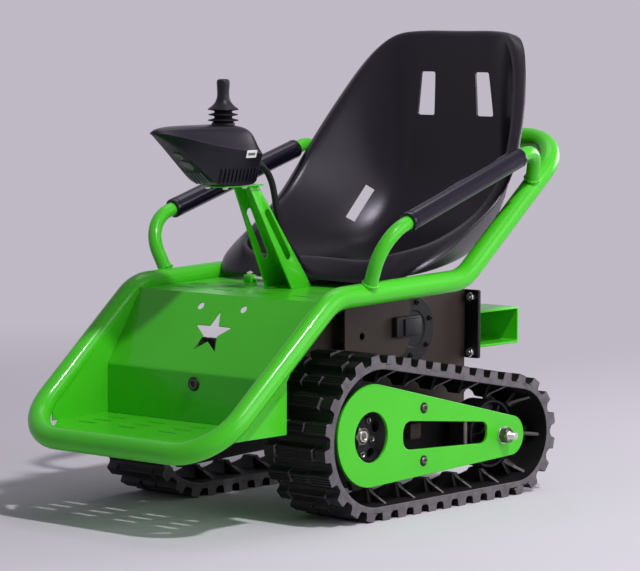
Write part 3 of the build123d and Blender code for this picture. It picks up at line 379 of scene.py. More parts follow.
def swept(name, points, radius, sides=40, closed=False):
    """A round bar along points, closed in a loop or capped at both ends."""
    count = len(points)
    if closed:
        tangents = [(points[(i + 1) % count] - points[i - 1]).normalized() for i in range(count)]
    else:
        tangents = [
            (points[min(i + 1, count - 1)] - points[max(i - 1, 0)]).normalized() for i in range(count)
        ]
    guide = Vector((0, 0, 1)) if abs(tangents[0].z) < 0.9 else Vector((1, 0, 0))
    side = tangents[0].cross(guide).normalized()
    frames = []
    for i in range(count):
        if i:
            side = tangents[i - 1].rotation_difference(tangents[i]) @ side
        side = (side - tangents[i] * side.dot(tangents[i])).normalized()
        frames.append((side.copy(), tangents[i].cross(side)))
    slip = 0.0
    if closed:
        again = tangents[-1].rotation_difference(tangents[0]) @ frames[-1][0]
        slip = math.atan2(again.dot(frames[0][1]), again.dot(frames[0][0]))
    verts = []
    for i, (a, b) in enumerate(frames):
        back = -slip * i / count
        for k in range(sides):
            turn = 2 * math.pi * k / sides + back
            verts.append(points[i] + (a * math.cos(turn) + b * math.sin(turn)) * radius)
    faces = []
    for i in range(count if closed else count - 1):
        j = (i + 1) % count
        for k in range(sides):
            m = (k + 1) % sides
            faces.append((i * sides + k, i * sides + m, j * sides + m, j * sides + k))
    if not closed:
        faces.append(tuple(range(sides - 1, -1, -1)))
        faces.append(tuple(range((count - 1) * sides, count * sides)))
    return object_from(name, verts, faces, 60.0)


def turned(name, profile, place, sides=48, angle=35.0, ring=False):
    """A turned piece. Its profile is (radius, height) about the place's own z axis, closed for a ring."""
    verts = []
    faces = []
    count = len(profile)
    for radius, height in profile:
        for k in range(sides):
            turn = 2 * math.pi * k / sides
            verts.append(place @ Vector((radius * math.cos(turn), radius * math.sin(turn), height)))
    for i in range(count if ring else count - 1):
        j = (i + 1) % count
        for k in range(sides):
            m = (k + 1) % sides
            faces.append((i * sides + k, i * sides + m, j * sides + m, j * sides + k))
    if not ring:
        for i in (0, count - 1):
            if profile[i][0] > 0:
                faces.append(tuple(range(i * sides, (i + 1) * sides)))
    return object_from(name, verts, faces, angle)


def ring_turned(name, profile, place, sides=48, angle=35.0):
    """A turned ring."""
    return turned(name, profile, place, sides, angle, ring=True)


def standing(origin, along):
    """A placing matrix with its z axis along a direction."""
    along = Vector(along).normalized()
    turn = Vector((0, 0, 1)).rotation_difference(along).to_matrix().to_4x4()
    return Matrix.Translation(Vector(origin)) @ turn


def in_plane(origin, x_axis, y_axis):
    """A placing matrix from an origin and two axes."""
    x = Vector(x_axis).normalized()
    y = Vector(y_axis).normalized()
    z = x.cross(y)
    turn = Matrix((x, y, z)).transposed().to_4x4()
    return Matrix.Translation(Vector(origin)) @ turn


def side_on(x):
    """Sketch plane of a plate that stands fore and aft: sketch x is y, sketch y is z."""
    return in_plane((x, 0, 0), (0, 1, 0), (0, 0, 1))


def circle(x, y, radius, sides=32):
    turns = [2 * math.pi * k / sides for k in range(sides)]
    return [(x + radius * math.cos(a), y + radius * math.sin(a)) for a in turns]


def slot_hole(x, y, length, width, sides=8):
    """A straight slot with round ends that lies along sketch x."""
    reach = (length - width) / 2
    points = []
    for sign, start in ((1, -90), (-1, 90)):
        for k in range(sides + 1):
            a = math.radians(start + 180 * k / sides)
            points.append((x + sign * reach + width / 2 * math.cos(a), y + width / 2 * math.sin(a)))
    return points


def rounded_polygon(corners, radius, steps=6):
    """A polygon with its corners rounded. radius is a number or one for each corner."""
    count = len(corners)
    radii = [radius] * count if isinstance(radius, (int, float)) else radius
    points = []
    for i in range(count):
        here = Vector(corners[i])
        before = (Vector(corners[i - 1]) - here).normalized()
        after = (Vector(corners[(i + 1) % count]) - here).normalized()
        if radii[i] <= 0:
            points.append(tuple(here))
            continue
        half = before.angle(after) / 2
        reach = radii[i] / math.tan(half)
        start = here + before * reach
        end = here + after * reach
        for k in range(steps + 1):
            t = k / steps
            points.append(tuple((1 - t) ** 2 * start + 2 * t * (1 - t) * here + t * t * end))
    return points


def signed_area(points):
    return sum(a[0] * b[1] - b[0] * a[1] for a, b in zip(points, points[1:] + points[:1])) / 2


def plate(name, outline, holes, thickness, place, round_edge=0.5):
    """A flat plate cut from an outline, with holes and eased edges. It grows along its place's own +z."""
    curve = bpy.data.curves.new(name, "CURVE")
    curve.dimensions = "2D"
    curve.fill_mode = "BOTH"
    curve.extrude = (thickness / 2 - round_edge) * MM
    curve.bevel_depth = round_edge * MM
    curve.bevel_resolution = 1
    curve.offset = -round_edge * MM
    for loop, wanted in [(outline, 1)] + [(h, -1) for h in holes]:
        loop = list(loop)
        if signed_area(loop) * wanted < 0:
            loop.reverse()
        spline = curve.splines.new("POLY")
        spline.points.add(len(loop) - 1)
        for point, (x, y) in zip(spline.points, loop):
            point.co = (x * MM, y * MM, 0, 1)
        spline.use_cyclic_u = True
    obj = bpy.data.objects.new(name, curve)
    scene.collection.objects.link(obj)
    obj = applied(obj)
    move(obj, place @ Matrix.Translation((0, 0, thickness / 2)))
    work = bmesh.new()
    work.from_mesh(obj.data)
    bmesh.ops.remove_doubles(work, verts=work.verts, dist=2e-6)
    bmesh.ops.recalc_face_normals(work, faces=work.faces)
    work.to_mesh(obj.data)
    work.free()
    smooth_shade(obj.data, 30)
    return obj


def block(name, low, high, ease=1.0):
    """A box with eased edges."""
    low = Vector(low)
    high = Vector(high)
    work = bmesh.new()
    bmesh.ops.create_cube(work, size=1.0)
    for v in work.verts:
        v.co = Vector(((low[i] + high[i]) / 2 + v.co[i] * (high[i] - low[i])) * MM for i in range(3))
    bmesh.ops.bevel(work, geom=list(work.edges), offset=ease * MM, segments=2, affect="EDGES", profile=0.5)
    mesh = bpy.data.meshes.new(name)
    work.to_mesh(mesh)
    work.free()
    smooth_shade(mesh, 40)
    obj = bpy.data.objects.new(name, mesh)
    scene.collection.objects.link(obj)
    return obj


# Repeats along a path
def repeat_tree(name):
    """Geometry nodes: sets copies of a piece evenly along an outline, upright across its path."""
    tree = bpy.data.node_groups.new(name, "GeometryNodeTree")
    inputs = {
        "Path": "NodeSocketGeometry",
        "Piece": "NodeSocketObject",
        "Count": "NodeSocketInt",
        "Finish": "NodeSocketMaterial",
    }
    for label, kind in inputs.items():
        tree.interface.new_socket(label, in_out="INPUT", socket_type=kind)
    tree.interface.new_socket("Pieces", in_out="OUTPUT", socket_type="NodeSocketGeometry")
    nodes = tree.nodes
    source = nodes.new("NodeGroupInput")
    result = nodes.new("NodeGroupOutput")
    chain = {
        "path": "GeometryNodeMeshToCurve",
        "even": "GeometryNodeResampleCurve",
        "tangent": "GeometryNodeInputTangent",
        "store": "GeometryNodeCaptureAttribute",
        "points": "GeometryNodeCurveToPoints",
        "turn": "FunctionNodeAlignRotationToVector",
        "piece": "GeometryNodeObjectInfo",
        "set": "GeometryNodeInstanceOnPoints",
        "real": "GeometryNodeRealizeInstances",
        "finish": "GeometryNodeSetMaterial",
    }
    made = {key: nodes.new(kind) for key, kind in chain.items()}
    made["store"].capture_items.new("VECTOR", "Along")
    made["points"].mode = "EVALUATED"
    made["turn"].axis = "Y"
    made["turn"].pivot_axis = "X"
    made["piece"].inputs["As Instance"].default_value = True
    link = tree.links.new
    link(source.outputs["Path"], made["path"].inputs["Mesh"])
    link(made["path"].outputs["Curve"], made["even"].inputs["Curve"])
    link(source.outputs["Count"], made["even"].inputs["Count"])
    link(made["even"].outputs["Curve"], made["store"].inputs["Geometry"])
    link(made["tangent"].outputs["Tangent"], made["store"].inputs[1])
    link(made["store"].outputs["Geometry"], made["points"].inputs["Curve"])
    link(made["store"].outputs[1], made["turn"].inputs["Vector"])
    link(source.outputs["Piece"], made["piece"].inputs["Object"])
    link(made["points"].outputs["Points"], made["set"].inputs["Points"])
    link(made["piece"].outputs["Geometry"], made["set"].inputs["Instance"])
    link(made["turn"].outputs["Rotation"], made["set"].inputs["Rotation"])
    link(made["set"].outputs["Instances"], made["real"].inputs["Geometry"])
    link(made["real"].outputs["Geometry"], made["finish"].inputs["Geometry"])
    link(source.outputs["Finish"], made["finish"].inputs["Material"])
    link(made["finish"].outputs["Geometry"], result.inputs["Pieces"])
    return tree


REPEAT = repeat_tree("pieces_along_path")


def repeated(name, piece, path, count, finish, closed=True):
    """Copies of a piece set along a path of points by geometry nodes, as one plain mesh."""
    mesh = bpy.data.meshes.new(name)
    links = [(i, i + 1) for i in range(len(path) - 1)]
    if closed:
        links.append((len(path) - 1, 0))
    mesh.from_pydata([Vector(p) * MM for p in path], links, [])
    host = bpy.data.objects.new(name, mesh)
    scene.collection.objects.link(host)
    modifier = host.modifiers.new("repeat", "NODES")
    modifier.node_group = REPEAT
    identifiers = {
        item.name: item.identifier
        for item in REPEAT.interface.items_tree
        if item.item_type == "SOCKET" and item.in_out == "INPUT"
    }
    modifier[identifiers["Piece"]] = piece
    modifier[identifiers["Count"]] = count
    modifier[identifiers["Finish"]] = finish
    made = applied(host, 35)
    bpy.data.objects.remove(piece)
    return made


# Frame tubes
TUBE_R = 16.85
HALF_W = 200.0
FRONT_HALF_W = 194.0
LOOP_BEND_R = 80.0
LOOP = {
    "front": (-411.0, 124.5),
    "shoulder": (-158.0, 332.2),
    "knee": (148.8, 341.8),
    "rear": (415.3, 549.4),
}
SHOULDER_Y, SHOULDER_Z = LOOP["shoulder"]
KNEE_Y, KNEE_Z = LOOP["knee"]
REAR_Y, REAR_Z = LOOP["rear"]
TILT = math.atan2(KNEE_Z - SHOULDER_Z, KNEE_Y - SHOULDER_Y)
DECK_DROP = 5.1


def loop_point(side, key):
    """A corner of the tube loop. The front corners stand a little further in, as the photo shows them."""
    half_w = FRONT_HALF_W if key == "front" else HALF_W
    return (side * half_w, *LOOP[key])


loop_corners = [
    loop_point(1, "front"), loop_point(-1, "front"), loop_point(-1, "shoulder"), loop_point(-1, "knee"),
    loop_point(-1, "rear"), loop_point(1, "rear"), loop_point(1, "knee"), loop_point(1, "shoulder"),
]
loop_path = rounded_path(loop_corners, [LOOP_BEND_R] * len(loop_corners), closed=True)
tube_loop = swept("tube_loop", loop_path, TUBE_R, sides=56, closed=True)
finish_piece(tube_loop, LIME, stands_for=("front_hoop", "side_rail_left", "side_rail_right", "rear_hoop"))


def deck_z(y):
    """Height of the deck's top face."""
    return SHOULDER_Z - DECK_DROP + (y - SHOULDER_Y) * math.tan(TILT)


# Armrests
ARM_R = 10.65
ARM_FOOT_Y, ARM_TAIL_Y = -81.0, 322.0
ARM_CORNERS = [
    (203.0, ARM_FOOT_Y, SHOULDER_Z + (ARM_FOOT_Y - SHOULDER_Y) * math.tan(TILT)),
    (242.6, -93.5, 422.0),
    (230.3, 293.0, 541.0),
    (HALF_W, ARM_TAIL_Y, KNEE_Z + (ARM_TAIL_Y - KNEE_Y) * (REAR_Z - KNEE_Z) / (REAR_Y - KNEE_Y)),
]


def bead(name, centre, along, major, minor):
    """A weld bead: a ring of twelve small ripples."""
    place = standing(centre, along)
    verts = []
    faces = []
    around, ring = 72, 10
    for i in range(around):
        turn = 2 * math.pi * i / around
        swell = minor * (1.0 + 0.12 * math.cos(12 * turn))
        for k in range(ring):
            a = 2 * math.pi * k / ring
            r = major + swell * math.cos(a)
            verts.append(place @ Vector((r * math.cos(turn), r * math.sin(turn), swell * math.sin(a))))
    for i in range(around):
        for k in range(ring):
            j, m = (i + 1) % around, (k + 1) % ring
            faces.append((i * ring + k, j * ring + k, j * ring + m, i * ring + m))
    return object_from(name, verts, faces, 60)


arm_path = rounded_path(ARM_CORNERS, [60.0, 36.0])
foot_up = (arm_path[1] - arm_path[0]).normalized()
tail_down = (arm_path[-1] - arm_path[-2]).normalized()
ARM_END_TRIM = 10.0
arm_path[0] = arm_path[0] + foot_up * ARM_END_TRIM
arm_path[-1] = arm_path[-1] - tail_down * ARM_END_TRIM
arm_bar = swept("armrest_bar", arm_path, ARM_R, sides=40)
foot_bead = bead("foot_bead", Vector(ARM_CORNERS[0]) + foot_up * 17.5, foot_up, ARM_R + 0.6, 2.2)
tail_bead = bead("tail_bead", Vector(ARM_CORNERS[3]) - tail_down * 18.5, tail_down, ARM_R + 0.8, 2.2)
armrest = joined("armrest", [arm_bar, foot_bead, tail_bead], 60)
pair(armrest, "armrest_bar", LIME, stands_for=("armrest_tube",))

GRIP_R, GRIP_LENGTH, GRIP_START = 15.5, 297.0, 62.0
grip_dir = (Vector(ARM_CORNERS[2]) - Vector(ARM_CORNERS[1])).normalized()
grip_place = standing(Vector(ARM_CORNERS[1]) + grip_dir * GRIP_START, grip_dir)
grip_end = [
    (ARM_R + 0.1, 0.0), (GRIP_R - 1.6, 0.0), (GRIP_R - 0.3, 1.0), (GRIP_R, 2.4), (GRIP_R, 6.0),
    (GRIP_R - 0.7, 6.8), (GRIP_R - 0.7, 8.2), (GRIP_R, 9.0),
]
grip_middle = [(GRIP_R, along) for along in (60.0, 148.0, 236.0)]
grip_profile = grip_end + grip_middle + [(r, GRIP_LENGTH - along) for r, along in reversed(grip_end)]
grip = ring_turned("grip", grip_profile, grip_place, 56)
pair(grip, "armrest_grip_sleeve", GRIP, stands_for=("armrest_grip",))


# Sheet body
SHEET = 2.0
BODY_W = HALF_W - TUBE_R - 0.2
DECK_FRONT, DECK_REAR = -9.0, 318.0
SLOT_LENGTH, SLOT_WIDTH, SLOT_PITCH = 44.0, 6.0, 82.0
DECK_SLOT_START, FOOT_SLOT_START = 39.0, 40.0
# The line that the tops of the side sheets follow, along the sloping tubes
SLOPE_FRONT_Y, SLOPE_FRONT_Z = -415.3, 124.5


def slot_rows(rows, row_pitch, off_middle, shift, half_width):
    """Centres of rows of slots, each row shifted from the last."""
    centres = []
    for row in range(rows):
        for column in range(-3, 4):
            x = column * SLOT_PITCH + off_middle - row * shift
            if abs(x) + SLOT_LENGTH / 2 < half_width - 8:
                centres.append((x, row * row_pitch))
    return centres


deck_place = in_plane((0, SHOULDER_Y, deck_z(SHOULDER_Y)), (1, 0, 0), (0, math.cos(TILT), math.sin(TILT)))
deck_holes = [
    slot_hole(x, DECK_SLOT_START + y, SLOT_LENGTH, SLOT_WIDTH)
    for x, y in slot_rows(2, 42.0, 27.0, 9.0, BODY_W)
]
deck = plate(
    "deck_sheet",
    [(-BODY_W, DECK_FRONT), (BODY_W, DECK_FRONT), (BODY_W, DECK_REAR), (-BODY_W, DECK_REAR)],
    deck_holes, SHEET, deck_place @ Matrix.Translation((0, 0, -SHEET)), 0.3,
)
finish_piece(deck, LIME, stands_for=("deck_plate",))

FOLD_Y, FOLD_Z, FOOT_Z = -240.0, 215.9, 141.6
inner_w = BODY_W - SHEET - 0.2
FOOT_FRONT_Y, FOOT_CORNER_X, FOOT_CORNER_Y = -409.0, 125.0, -345.0
foot_holes = [
    slot_hole(x, FOLD_Y - FOOT_SLOT_START - y, SLOT_LENGTH, SLOT_WIDTH)
    for x, y in slot_rows(3, 31.5, SLOT_PITCH / 2, 0.0, BODY_W - 20)
]
foot = plate(
    "foot_sheet",
    [
        (inner_w, FOLD_Y + SHEET), (-inner_w, FOLD_Y + SHEET), (-inner_w, FOOT_CORNER_Y),
        (-FOOT_CORNER_X, FOOT_FRONT_Y), (FOOT_CORNER_X, FOOT_FRONT_Y), (inner_w, FOOT_CORNER_Y),
    ],
    foot_holes, SHEET, in_plane((0, 0, FOOT_Z - SHEET - 0.2), (1, 0, 0), (0, 1, 0)), 0.3,
)
finish_piece(foot, LIME, stands_for=("foot_plate",))

# Front panel: the sloping apron with its star, a bend, and the riser
deck_edge = Vector((0, SHOULDER_Y + DECK_FRONT * math.cos(TILT), 0))
deck_edge.z = deck_z(SHOULDER_Y) + DECK_FRONT * math.sin(TILT)
fold_edge = Vector((0, FOLD_Y, FOLD_Z))
apron_down = (fold_edge - deck_edge).normalized()
apron_length = (fold_edge - deck_edge).length
BEND_R = 7.0
bend_turn = apron_down.angle(Vector((0, 0, -1)))
bend_reach = BEND_R * math.tan(bend_turn / 2)
STAR_R, STAR_WAIST, STAR_DROP = 38.0, 0.40, 65.0
PANEL_HOLE_X, PANEL_HOLE_DROP, PANEL_HOLE_R = 43.5, 21.5, 6.0
star = []
for tip in range(5):
    for reach, turn in ((STAR_R, 0), (STAR_R * STAR_WAIST, 36)):
        a = math.radians(90 + 72 * tip + turn)
        star.append((reach * math.cos(a), reach * math.sin(a) - STAR_DROP))
apron_place = in_plane(deck_edge, (1, 0, 0), -apron_down)
apron_out = apron_place.to_3x3() @ Vector((0, 0, 1))
apron_low = bend_reach - apron_length
apron = plate(
    "apron",
    [(-inner_w, -0.6), (inner_w, -0.6), (inner_w, apron_low), (-inner_w, apron_low)],
    [star] + [circle(x, -PANEL_HOLE_DROP, PANEL_HOLE_R) for x in (-PANEL_HOLE_X, PANEL_HOLE_X)],
    SHEET, apron_place @ Matrix.Translation((0, 0, -SHEET)), 0.25,
)
PLUG_Z = 199.0
riser_low, riser_high = FOOT_Z + 0.2, FOLD_Z - bend_reach
riser = plate(
    "riser",
    [(-inner_w, riser_low), (inner_w, riser_low), (inner_w, riser_high), (-inner_w, riser_high)],
    [circle(0, PLUG_Z, 7.5)], SHEET, in_plane((0, FOLD_Y + SHEET, 0), (1, 0, 0), (0, 0, 1)), 0.25,
)
bend_start = deck_edge + apron_down * (apron_length - bend_reach)
bend_middle = bend_start - apron_out * BEND_R
verts, faces = [], []
steps = 8
for k in range(steps + 1):
    turn = bend_turn * k / steps
    out = Matrix.Rotation(turn, 3, "X") @ apron_out
    for radius in (BEND_R, BEND_R - SHEET):
        for side in (-1, 1):
            verts.append(bend_middle + out * radius + Vector((side * inner_w, 0, 0)))
for k in range(steps):
    a, b = 4 * k, 4 * (k + 1)
    faces += [(a, a + 1, b + 1, b), (a + 2, b + 2, b + 3, a + 3)]
    faces += [(a, b, b + 2, a + 2), (a + 1, a + 3, b + 3, b + 1)]
bend = object_from("bend", verts, faces, 50)
front_sheet = joined("front_sheet", [apron, riser, bend], 40)
finish_piece(front_sheet, LIME, stands_for=("front_panel",))

# Side sheets, between the foot plate and the sloping tubes
rise = (SHOULDER_Z - SLOPE_FRONT_Z) / (SHOULDER_Y - SLOPE_FRONT_Y)
side_low = FOOT_Z - SHEET - 0.2
low_y = SLOPE_FRONT_Y + (FOOT_Z - SHEET - SLOPE_FRONT_Z) / rise + 40


def slope_z(y):
    """Height of the sloping tubes' middle line."""
    return SLOPE_FRONT_Z + rise * (y - SLOPE_FRONT_Y)


side_outline = [
    (low_y, side_low), (FOLD_Y + SHEET, side_low), (FOLD_Y + SHEET, FOLD_Z),
    (deck_edge.y, deck_edge.z - SHEET - 0.2), (deck_edge.y - 12, slope_z(deck_edge.y - 12)),
    (low_y, slope_z(low_y)),
]
side_sheet = plate(
    "side_sheet", rounded_polygon(side_outline, [0, 3.0, 0, 0, 0, 0]), [],
    SHEET, side_on(BODY_W - SHEET), 0.4,
)
pair(side_sheet, "side_sheet", LIME, stands_for=("side_panel",))

# The plug in the riser, with its steel ring
plug_place = standing((0, FOLD_Y, PLUG_Z), (0, -1, 0))
plug_profile = [
    (7.3, -SHEET), (7.3, 0.0), (10.5, 0.05), (10.5, 1.4), (9.6, 2.7), (7.2, 3.0), (5.4, 2.3), (4.6, 1.4),
    (0.0, 1.2),
]
plug = turned("plug", plug_profile, plug_place, 40)
finish_piece(plug, BOOT, stands_for=("riser_plug",))
ring_profile = [(5.0, 1.5), (5.2, 2.6), (6.2, 3.3), (7.0, 2.9), (6.6, 1.6)]
plug_ring = ring_turned("plug_ring", ring_profile, plug_place, 36)
finish_piece(plug_ring, DARK_STEEL)


# Track units
TRACK_X, TRACK_W = 236.7, 119.2
TRACK_MID = TRACK_X - TRACK_W / 2
FRONT_C, REAR_C = Vector((-92.0, 124.0)), Vector((248.0, 94.0))
FRONT_TIP, REAR_TIP = 124.0, 94.0
LUG_H, BELT_T, GUIDE_H = 12.5, 9.0, 20.0
LUGS, GUIDES = 36, 18
wrap = math.asin((FRONT_TIP - REAR_TIP) / (REAR_C - FRONT_C).length)
straight = (REAR_C - FRONT_C).length * math.cos(wrap)


def belt_loop(inset, start, step=5.0):
    """Points round the belt at a depth below the lug tips, as (y, z) with the way outwards."""
    fr, rr = FRONT_TIP - inset, REAR_TIP - inset
    top = Vector((math.sin(2 * wrap), math.cos(2 * wrap)))
    lengths = [straight, rr * (math.pi - 2 * wrap), straight, fr * (math.pi + 2 * wrap)]
    total = sum(lengths)
    count = round(total / step)
    loop = []
    for i in range(count):
        d = (start + i * total / count) % total
        if d < lengths[0]:
            loop.append((FRONT_C + Vector((d, -fr)), Vector((0, -1))))
            continue
        d -= lengths[0]
        if d < lengths[1]:
            a = d / rr
            out = Vector((math.sin(a), -math.cos(a)))
            loop.append((REAR_C + out * rr, out))
            continue
        d -= lengths[1]
        if d < lengths[2]:
            loop.append((REAR_C + top * rr + Vector((-top.y, top.x)) * d, top))
            continue
        d -= lengths[2]
        a = d / fr
        out = Vector((math.sin(2 * wrap - a), math.cos(2 * wrap - a)))
        loop.append((FRONT_C + out * fr, out))
    return loop, total


def belt_band():
    """The belt itself, a closed band with eased edges and a raised line along each rim."""
    half = TRACK_W / 2
    section = [
        (-half, 0.8), (-half + 0.8, 0.0), (-half + 5, 0.0), (-half + 6, 0.7),
        (half - 6, 0.7), (half - 5, 0.0), (half - 0.8, 0.0), (half, 0.8),
        (half, BELT_T - 0.8), (half - 0.8, BELT_T), (-half + 0.8, BELT_T), (-half, BELT_T - 0.8),
    ]
    loop, _ = belt_loop(LUG_H, 0.0, 6.0)
    verts, faces = [], []
    count = len(section)
    for spot, out in loop:
        for across, depth in section:
            here = spot - out * depth
            verts.append((TRACK_MID + across, here.x, here.y))
    for i in range(len(loop)):
        j = (i + 1) % len(loop)
        for k in range(count):
            m = (k + 1) % count
            faces.append((i * count + k, j * count + k, j * count + m, i * count + m))
    return object_from("belt_band", verts, faces, 40)


def lug_block(x0, x1, base, tip, height, grooves):
    """One lug block hanging outwards (towards -z), with a filleted foot and cross grooves on its face."""
    side = [
        (-base / 2 - 3.0, 1.0), (-base / 2 - 0.6, -0.8), (-base / 2 + 1.0, -2.8),
        (-tip / 2 - 0.4, -height + 1.4), (-tip / 2 + 1.2, -height),
    ]
    face = []
    if grooves:
        span = tip - 2.4
        width = span / (2 * grooves + 1)
        for k in range(grooves):
            a = -tip / 2 + 1.2 + width * (2 * k + 1)
            deep = -height + 1.3
            face += [(a, -height), (a + 0.3, deep), (a + width - 0.3, deep), (a + width, -height)]
    outline = side + face + [(-y, z) for y, z in reversed(side)]
    verts = [(x, y, z) for x in (x0, x1) for y, z in outline]
    n = len(outline)
    faces = [(k, (k + 1) % n, n + (k + 1) % n, n + k) for k in range(n)]
    faces.append(tuple(range(n)))
    faces.append(tuple(range(2 * n - 1, n - 1, -1)))
    return verts, faces


def lug_piece(name, blocks):
    verts, faces = [], []
    for spec in blocks:
        v, f = lug_block(*spec)
        faces += [tuple(i + len(verts) for i in face) for face in f]
        verts += v
    return object_from(name, verts, faces, 30)


def guide_piece():
    """A guide tooth on the inside of the belt: a crested block with a thin rib down each flank."""
    verts, faces = [], []
    half_l = 12.5
    crest = 13.0
    rib = [
        (-44.0, 0.0, 1.6), (-42.0, 2.0, 2.4),
        (-crest - 2.0, GUIDE_H - 5.0, 3.0), (-crest + 2.0, GUIDE_H - 0.2, 3.4),
    ]
    rib += [(-x, z, w) for x, z, w in reversed(rib)]
    for x, z, w in rib:
        verts += [(x, -w - 1.0, -1.0), (x, -w, z - 1.2), (x, 0.0, z), (x, w, z - 1.2), (x, w + 1.0, -1.0)]
    for i in range(len(rib) - 1):
        a, b = 5 * i, 5 * (i + 1)
        for k in range(4):
            faces.append((a + k, b + k, b + k + 1, a + k + 1))
        faces.append((a + 4, b + 4, b, a))
    faces += [(0, 1, 2, 3, 4), tuple(range(len(verts) - 1, len(verts) - 6, -1))]
    n = len(verts)
    for x, y, z in (
        (crest + 7, half_l, -1), (crest + 3, half_l - 2, 7), (crest - 3, half_l - 6, GUIDE_H - 0.6),
    ):
        verts += [(-x, -y, z), (x, -y, z), (x, y, z), (-x, y, z)]
    for layer in (0, 4):
        for k in range(4):
            m = (k + 1) % 4
            faces.append((n + layer + k, n + layer + m, n + layer + 4 + m, n + layer + 4 + k))
    faces += [(n, n + 3, n + 2, n + 1), (n + 8, n + 9, n + 10, n + 11)]
    return object_from("guide_piece", verts, faces, 30)


half_w = TRACK_W / 2
core_w = half_w - 0.8
_, lug_total = belt_loop(LUG_H, 0.0, 2.0)
pitch = lug_total / LUGS
wide_lug = lug_piece("wide_lug", [
    (-core_w, core_w, 21.0, 14.0, LUG_H - 4.5, 0),
    (-half_w, -20.0, 22.0, 17.0, LUG_H, 3),
    (-14.0, 14.0, 20.0, 13.0, LUG_H - 1.0, 2),
    (20.0, half_w, 22.0, 17.0, LUG_H, 3),
])
split_lug = lug_piece("split_lug", [
    (-core_w, core_w, 21.0, 13.0, LUG_H - 5.5, 0),
    (-half_w, -40.0, 22.0, 17.0, LUG_H, 0),
    (-33.0, 33.0, 22.0, 17.0, LUG_H, 4),
    (40.0, half_w, 22.0, 17.0, LUG_H, 0),
])
band = belt_band()
loops = []
for piece, offset in ((wide_lug, 0.5), (split_lug, 1.5)):
    path, _ = belt_loop(LUG_H, offset * pitch, 2.0)
    loops.append(repeated(
        piece.name + "s", piece, [(TRACK_MID, p.x, p.y) for p, _ in path], LUGS // 2, BELT_RUBBER
    ))
_, guide_total = belt_loop(LUG_H + BELT_T, 0.0, 2.0)
guide_path, _ = belt_loop(LUG_H + BELT_T, 0.5 * guide_total / GUIDES, 2.0)
loops.append(repeated(
    "guide_teeth", guide_piece(), [(TRACK_MID, p.x, p.y) for p, _ in guide_path], GUIDES, BELT_RUBBER
))
belt = joined("belt", [band] + loops, 32)
pair(belt, "rubber_belt", BELT_RUBBER, stands_for=("track",))


# Lime side plates with eased edges
PLATE_T, OUTER_X = 5.0, 221.0
PLATE_FRONT, PLATE_REAR = Vector((-92.0, 126.5)), Vector((249.0, 92.0))
BIG_R, SMALL_R = 77.0, 31.0


def plate_outline():
    reach = PLATE_REAR - PLATE_FRONT
    slope = math.atan2(reach.y, reach.x)
    spread = math.asin((BIG_R - SMALL_R) / reach.length)
    up, down = math.pi / 2 + slope - spread, -math.pi / 2 + slope + spread
    points = []
    for k in range(41):
        a = up + (2 * math.pi + down - up) * k / 40
        points.append(tuple(PLATE_FRONT + Vector((math.cos(a), math.sin(a))) * BIG_R))
    for k in range(21):
        a = down + (up - down) * k / 20
        points.append(tuple(PLATE_REAR + Vector((math.cos(a), math.sin(a))) * SMALL_R))
    return points


def plate_slot():
    """The long hole, which narrows towards the rear with the plate."""
    fall = (PLATE_REAR.y - PLATE_FRONT.y + 2.5) / (PLATE_REAR.x - PLATE_FRONT.x)
    ends = []
    for y, r in ((4.0, 22.3), (171.0, 16.4)):
        ends.append((y, PLATE_FRONT.y + 1.5 + fall * (y - PLATE_FRONT.x), r))
    (y0, z0, r0), (y1, z1, r1) = ends
    return rounded_polygon(
        [(y0 - r0, z0 + r0), (y0 - r0, z0 - r0), (y1 + r1, z1 - r1), (y1 + r1, z1 + r1)],
        [20.0, 20.0, 14.8, 14.8], 8,
    )


AXLE_F, AXLE_R = (-92.0, 124.0), (227.0, 95.0)
FRONT_BORE, REAR_BORE = 10.05, 7.05
ACCESS_R = 38.0
SPACERS = [(30.5, 76.0), (30.5, 156.5)]
outer = plate(
    "outer_plate", plate_outline(),
    [circle(*AXLE_F, ACCESS_R, 56), plate_slot(), circle(*AXLE_R, REAR_BORE, 28)],
    PLATE_T, side_on(OUTER_X - PLATE_T), 0.7,
)
pair(outer, "outer_side_plate", LIME, stands_for=("outer_plate",))

inner_x = 2 * TRACK_MID - OUTER_X
inner_sheet = plate(
    "inner_sheet", plate_outline(), [circle(*AXLE_F, FRONT_BORE, 32), circle(*AXLE_R, REAR_BORE, 28)],
    PLATE_T, side_on(inner_x), 0.7,
)
ROD_R, rod_length = 8.0, OUTER_X - PLATE_T - inner_x - 3.0
rod_profile = [(0.0, 0.0), (ROD_R, 0.0), (ROD_R, rod_length), (0.0, rod_length)]
rods = [
    turned("rod", rod_profile, standing((inner_x + 2.9, y, z), (1, 0, 0)), 28)
    for y, z in SPACERS
]
inner_set = joined("inner_set", [inner_sheet] + rods, 30)
pair(inner_set, "inner_side_plate", BLACK_COAT, stands_for=("inner_plate",))


# Nuts, washers and screw heads
def hex_nut(name, place, flats, height, bore):
    """A hexagon nut with chamfered corners and a bore that shows its thread's edge."""
    steps = 48
    outside = [(0.0, flats * 0.485), (0.7, flats), (height - 1.2, flats), (height, flats * 0.475)]
    inside = [(height, bore + 0.9), (height - 0.9, bore), (0.9, bore), (0.0, bore + 0.9)]
    verts, faces = [], []
    for z, limit in outside + inside:
        for k in range(steps):
            a = 2 * math.pi * k / steps
            off_flat = (a + math.pi / 6) % (math.pi / 3) - math.pi / 6
            r = min(flats / 2 / math.cos(off_flat), limit)
            verts.append(place @ Vector((r * math.cos(a), r * math.sin(a), z)))
    rings = len(outside + inside)
    for i in range(rings):
        j = (i + 1) % rings
        for k in range(steps):
            m = (k + 1) % steps
            faces.append((i * steps + k, i * steps + m, j * steps + m, j * steps + k))
    return object_from(name, verts, faces, 28)


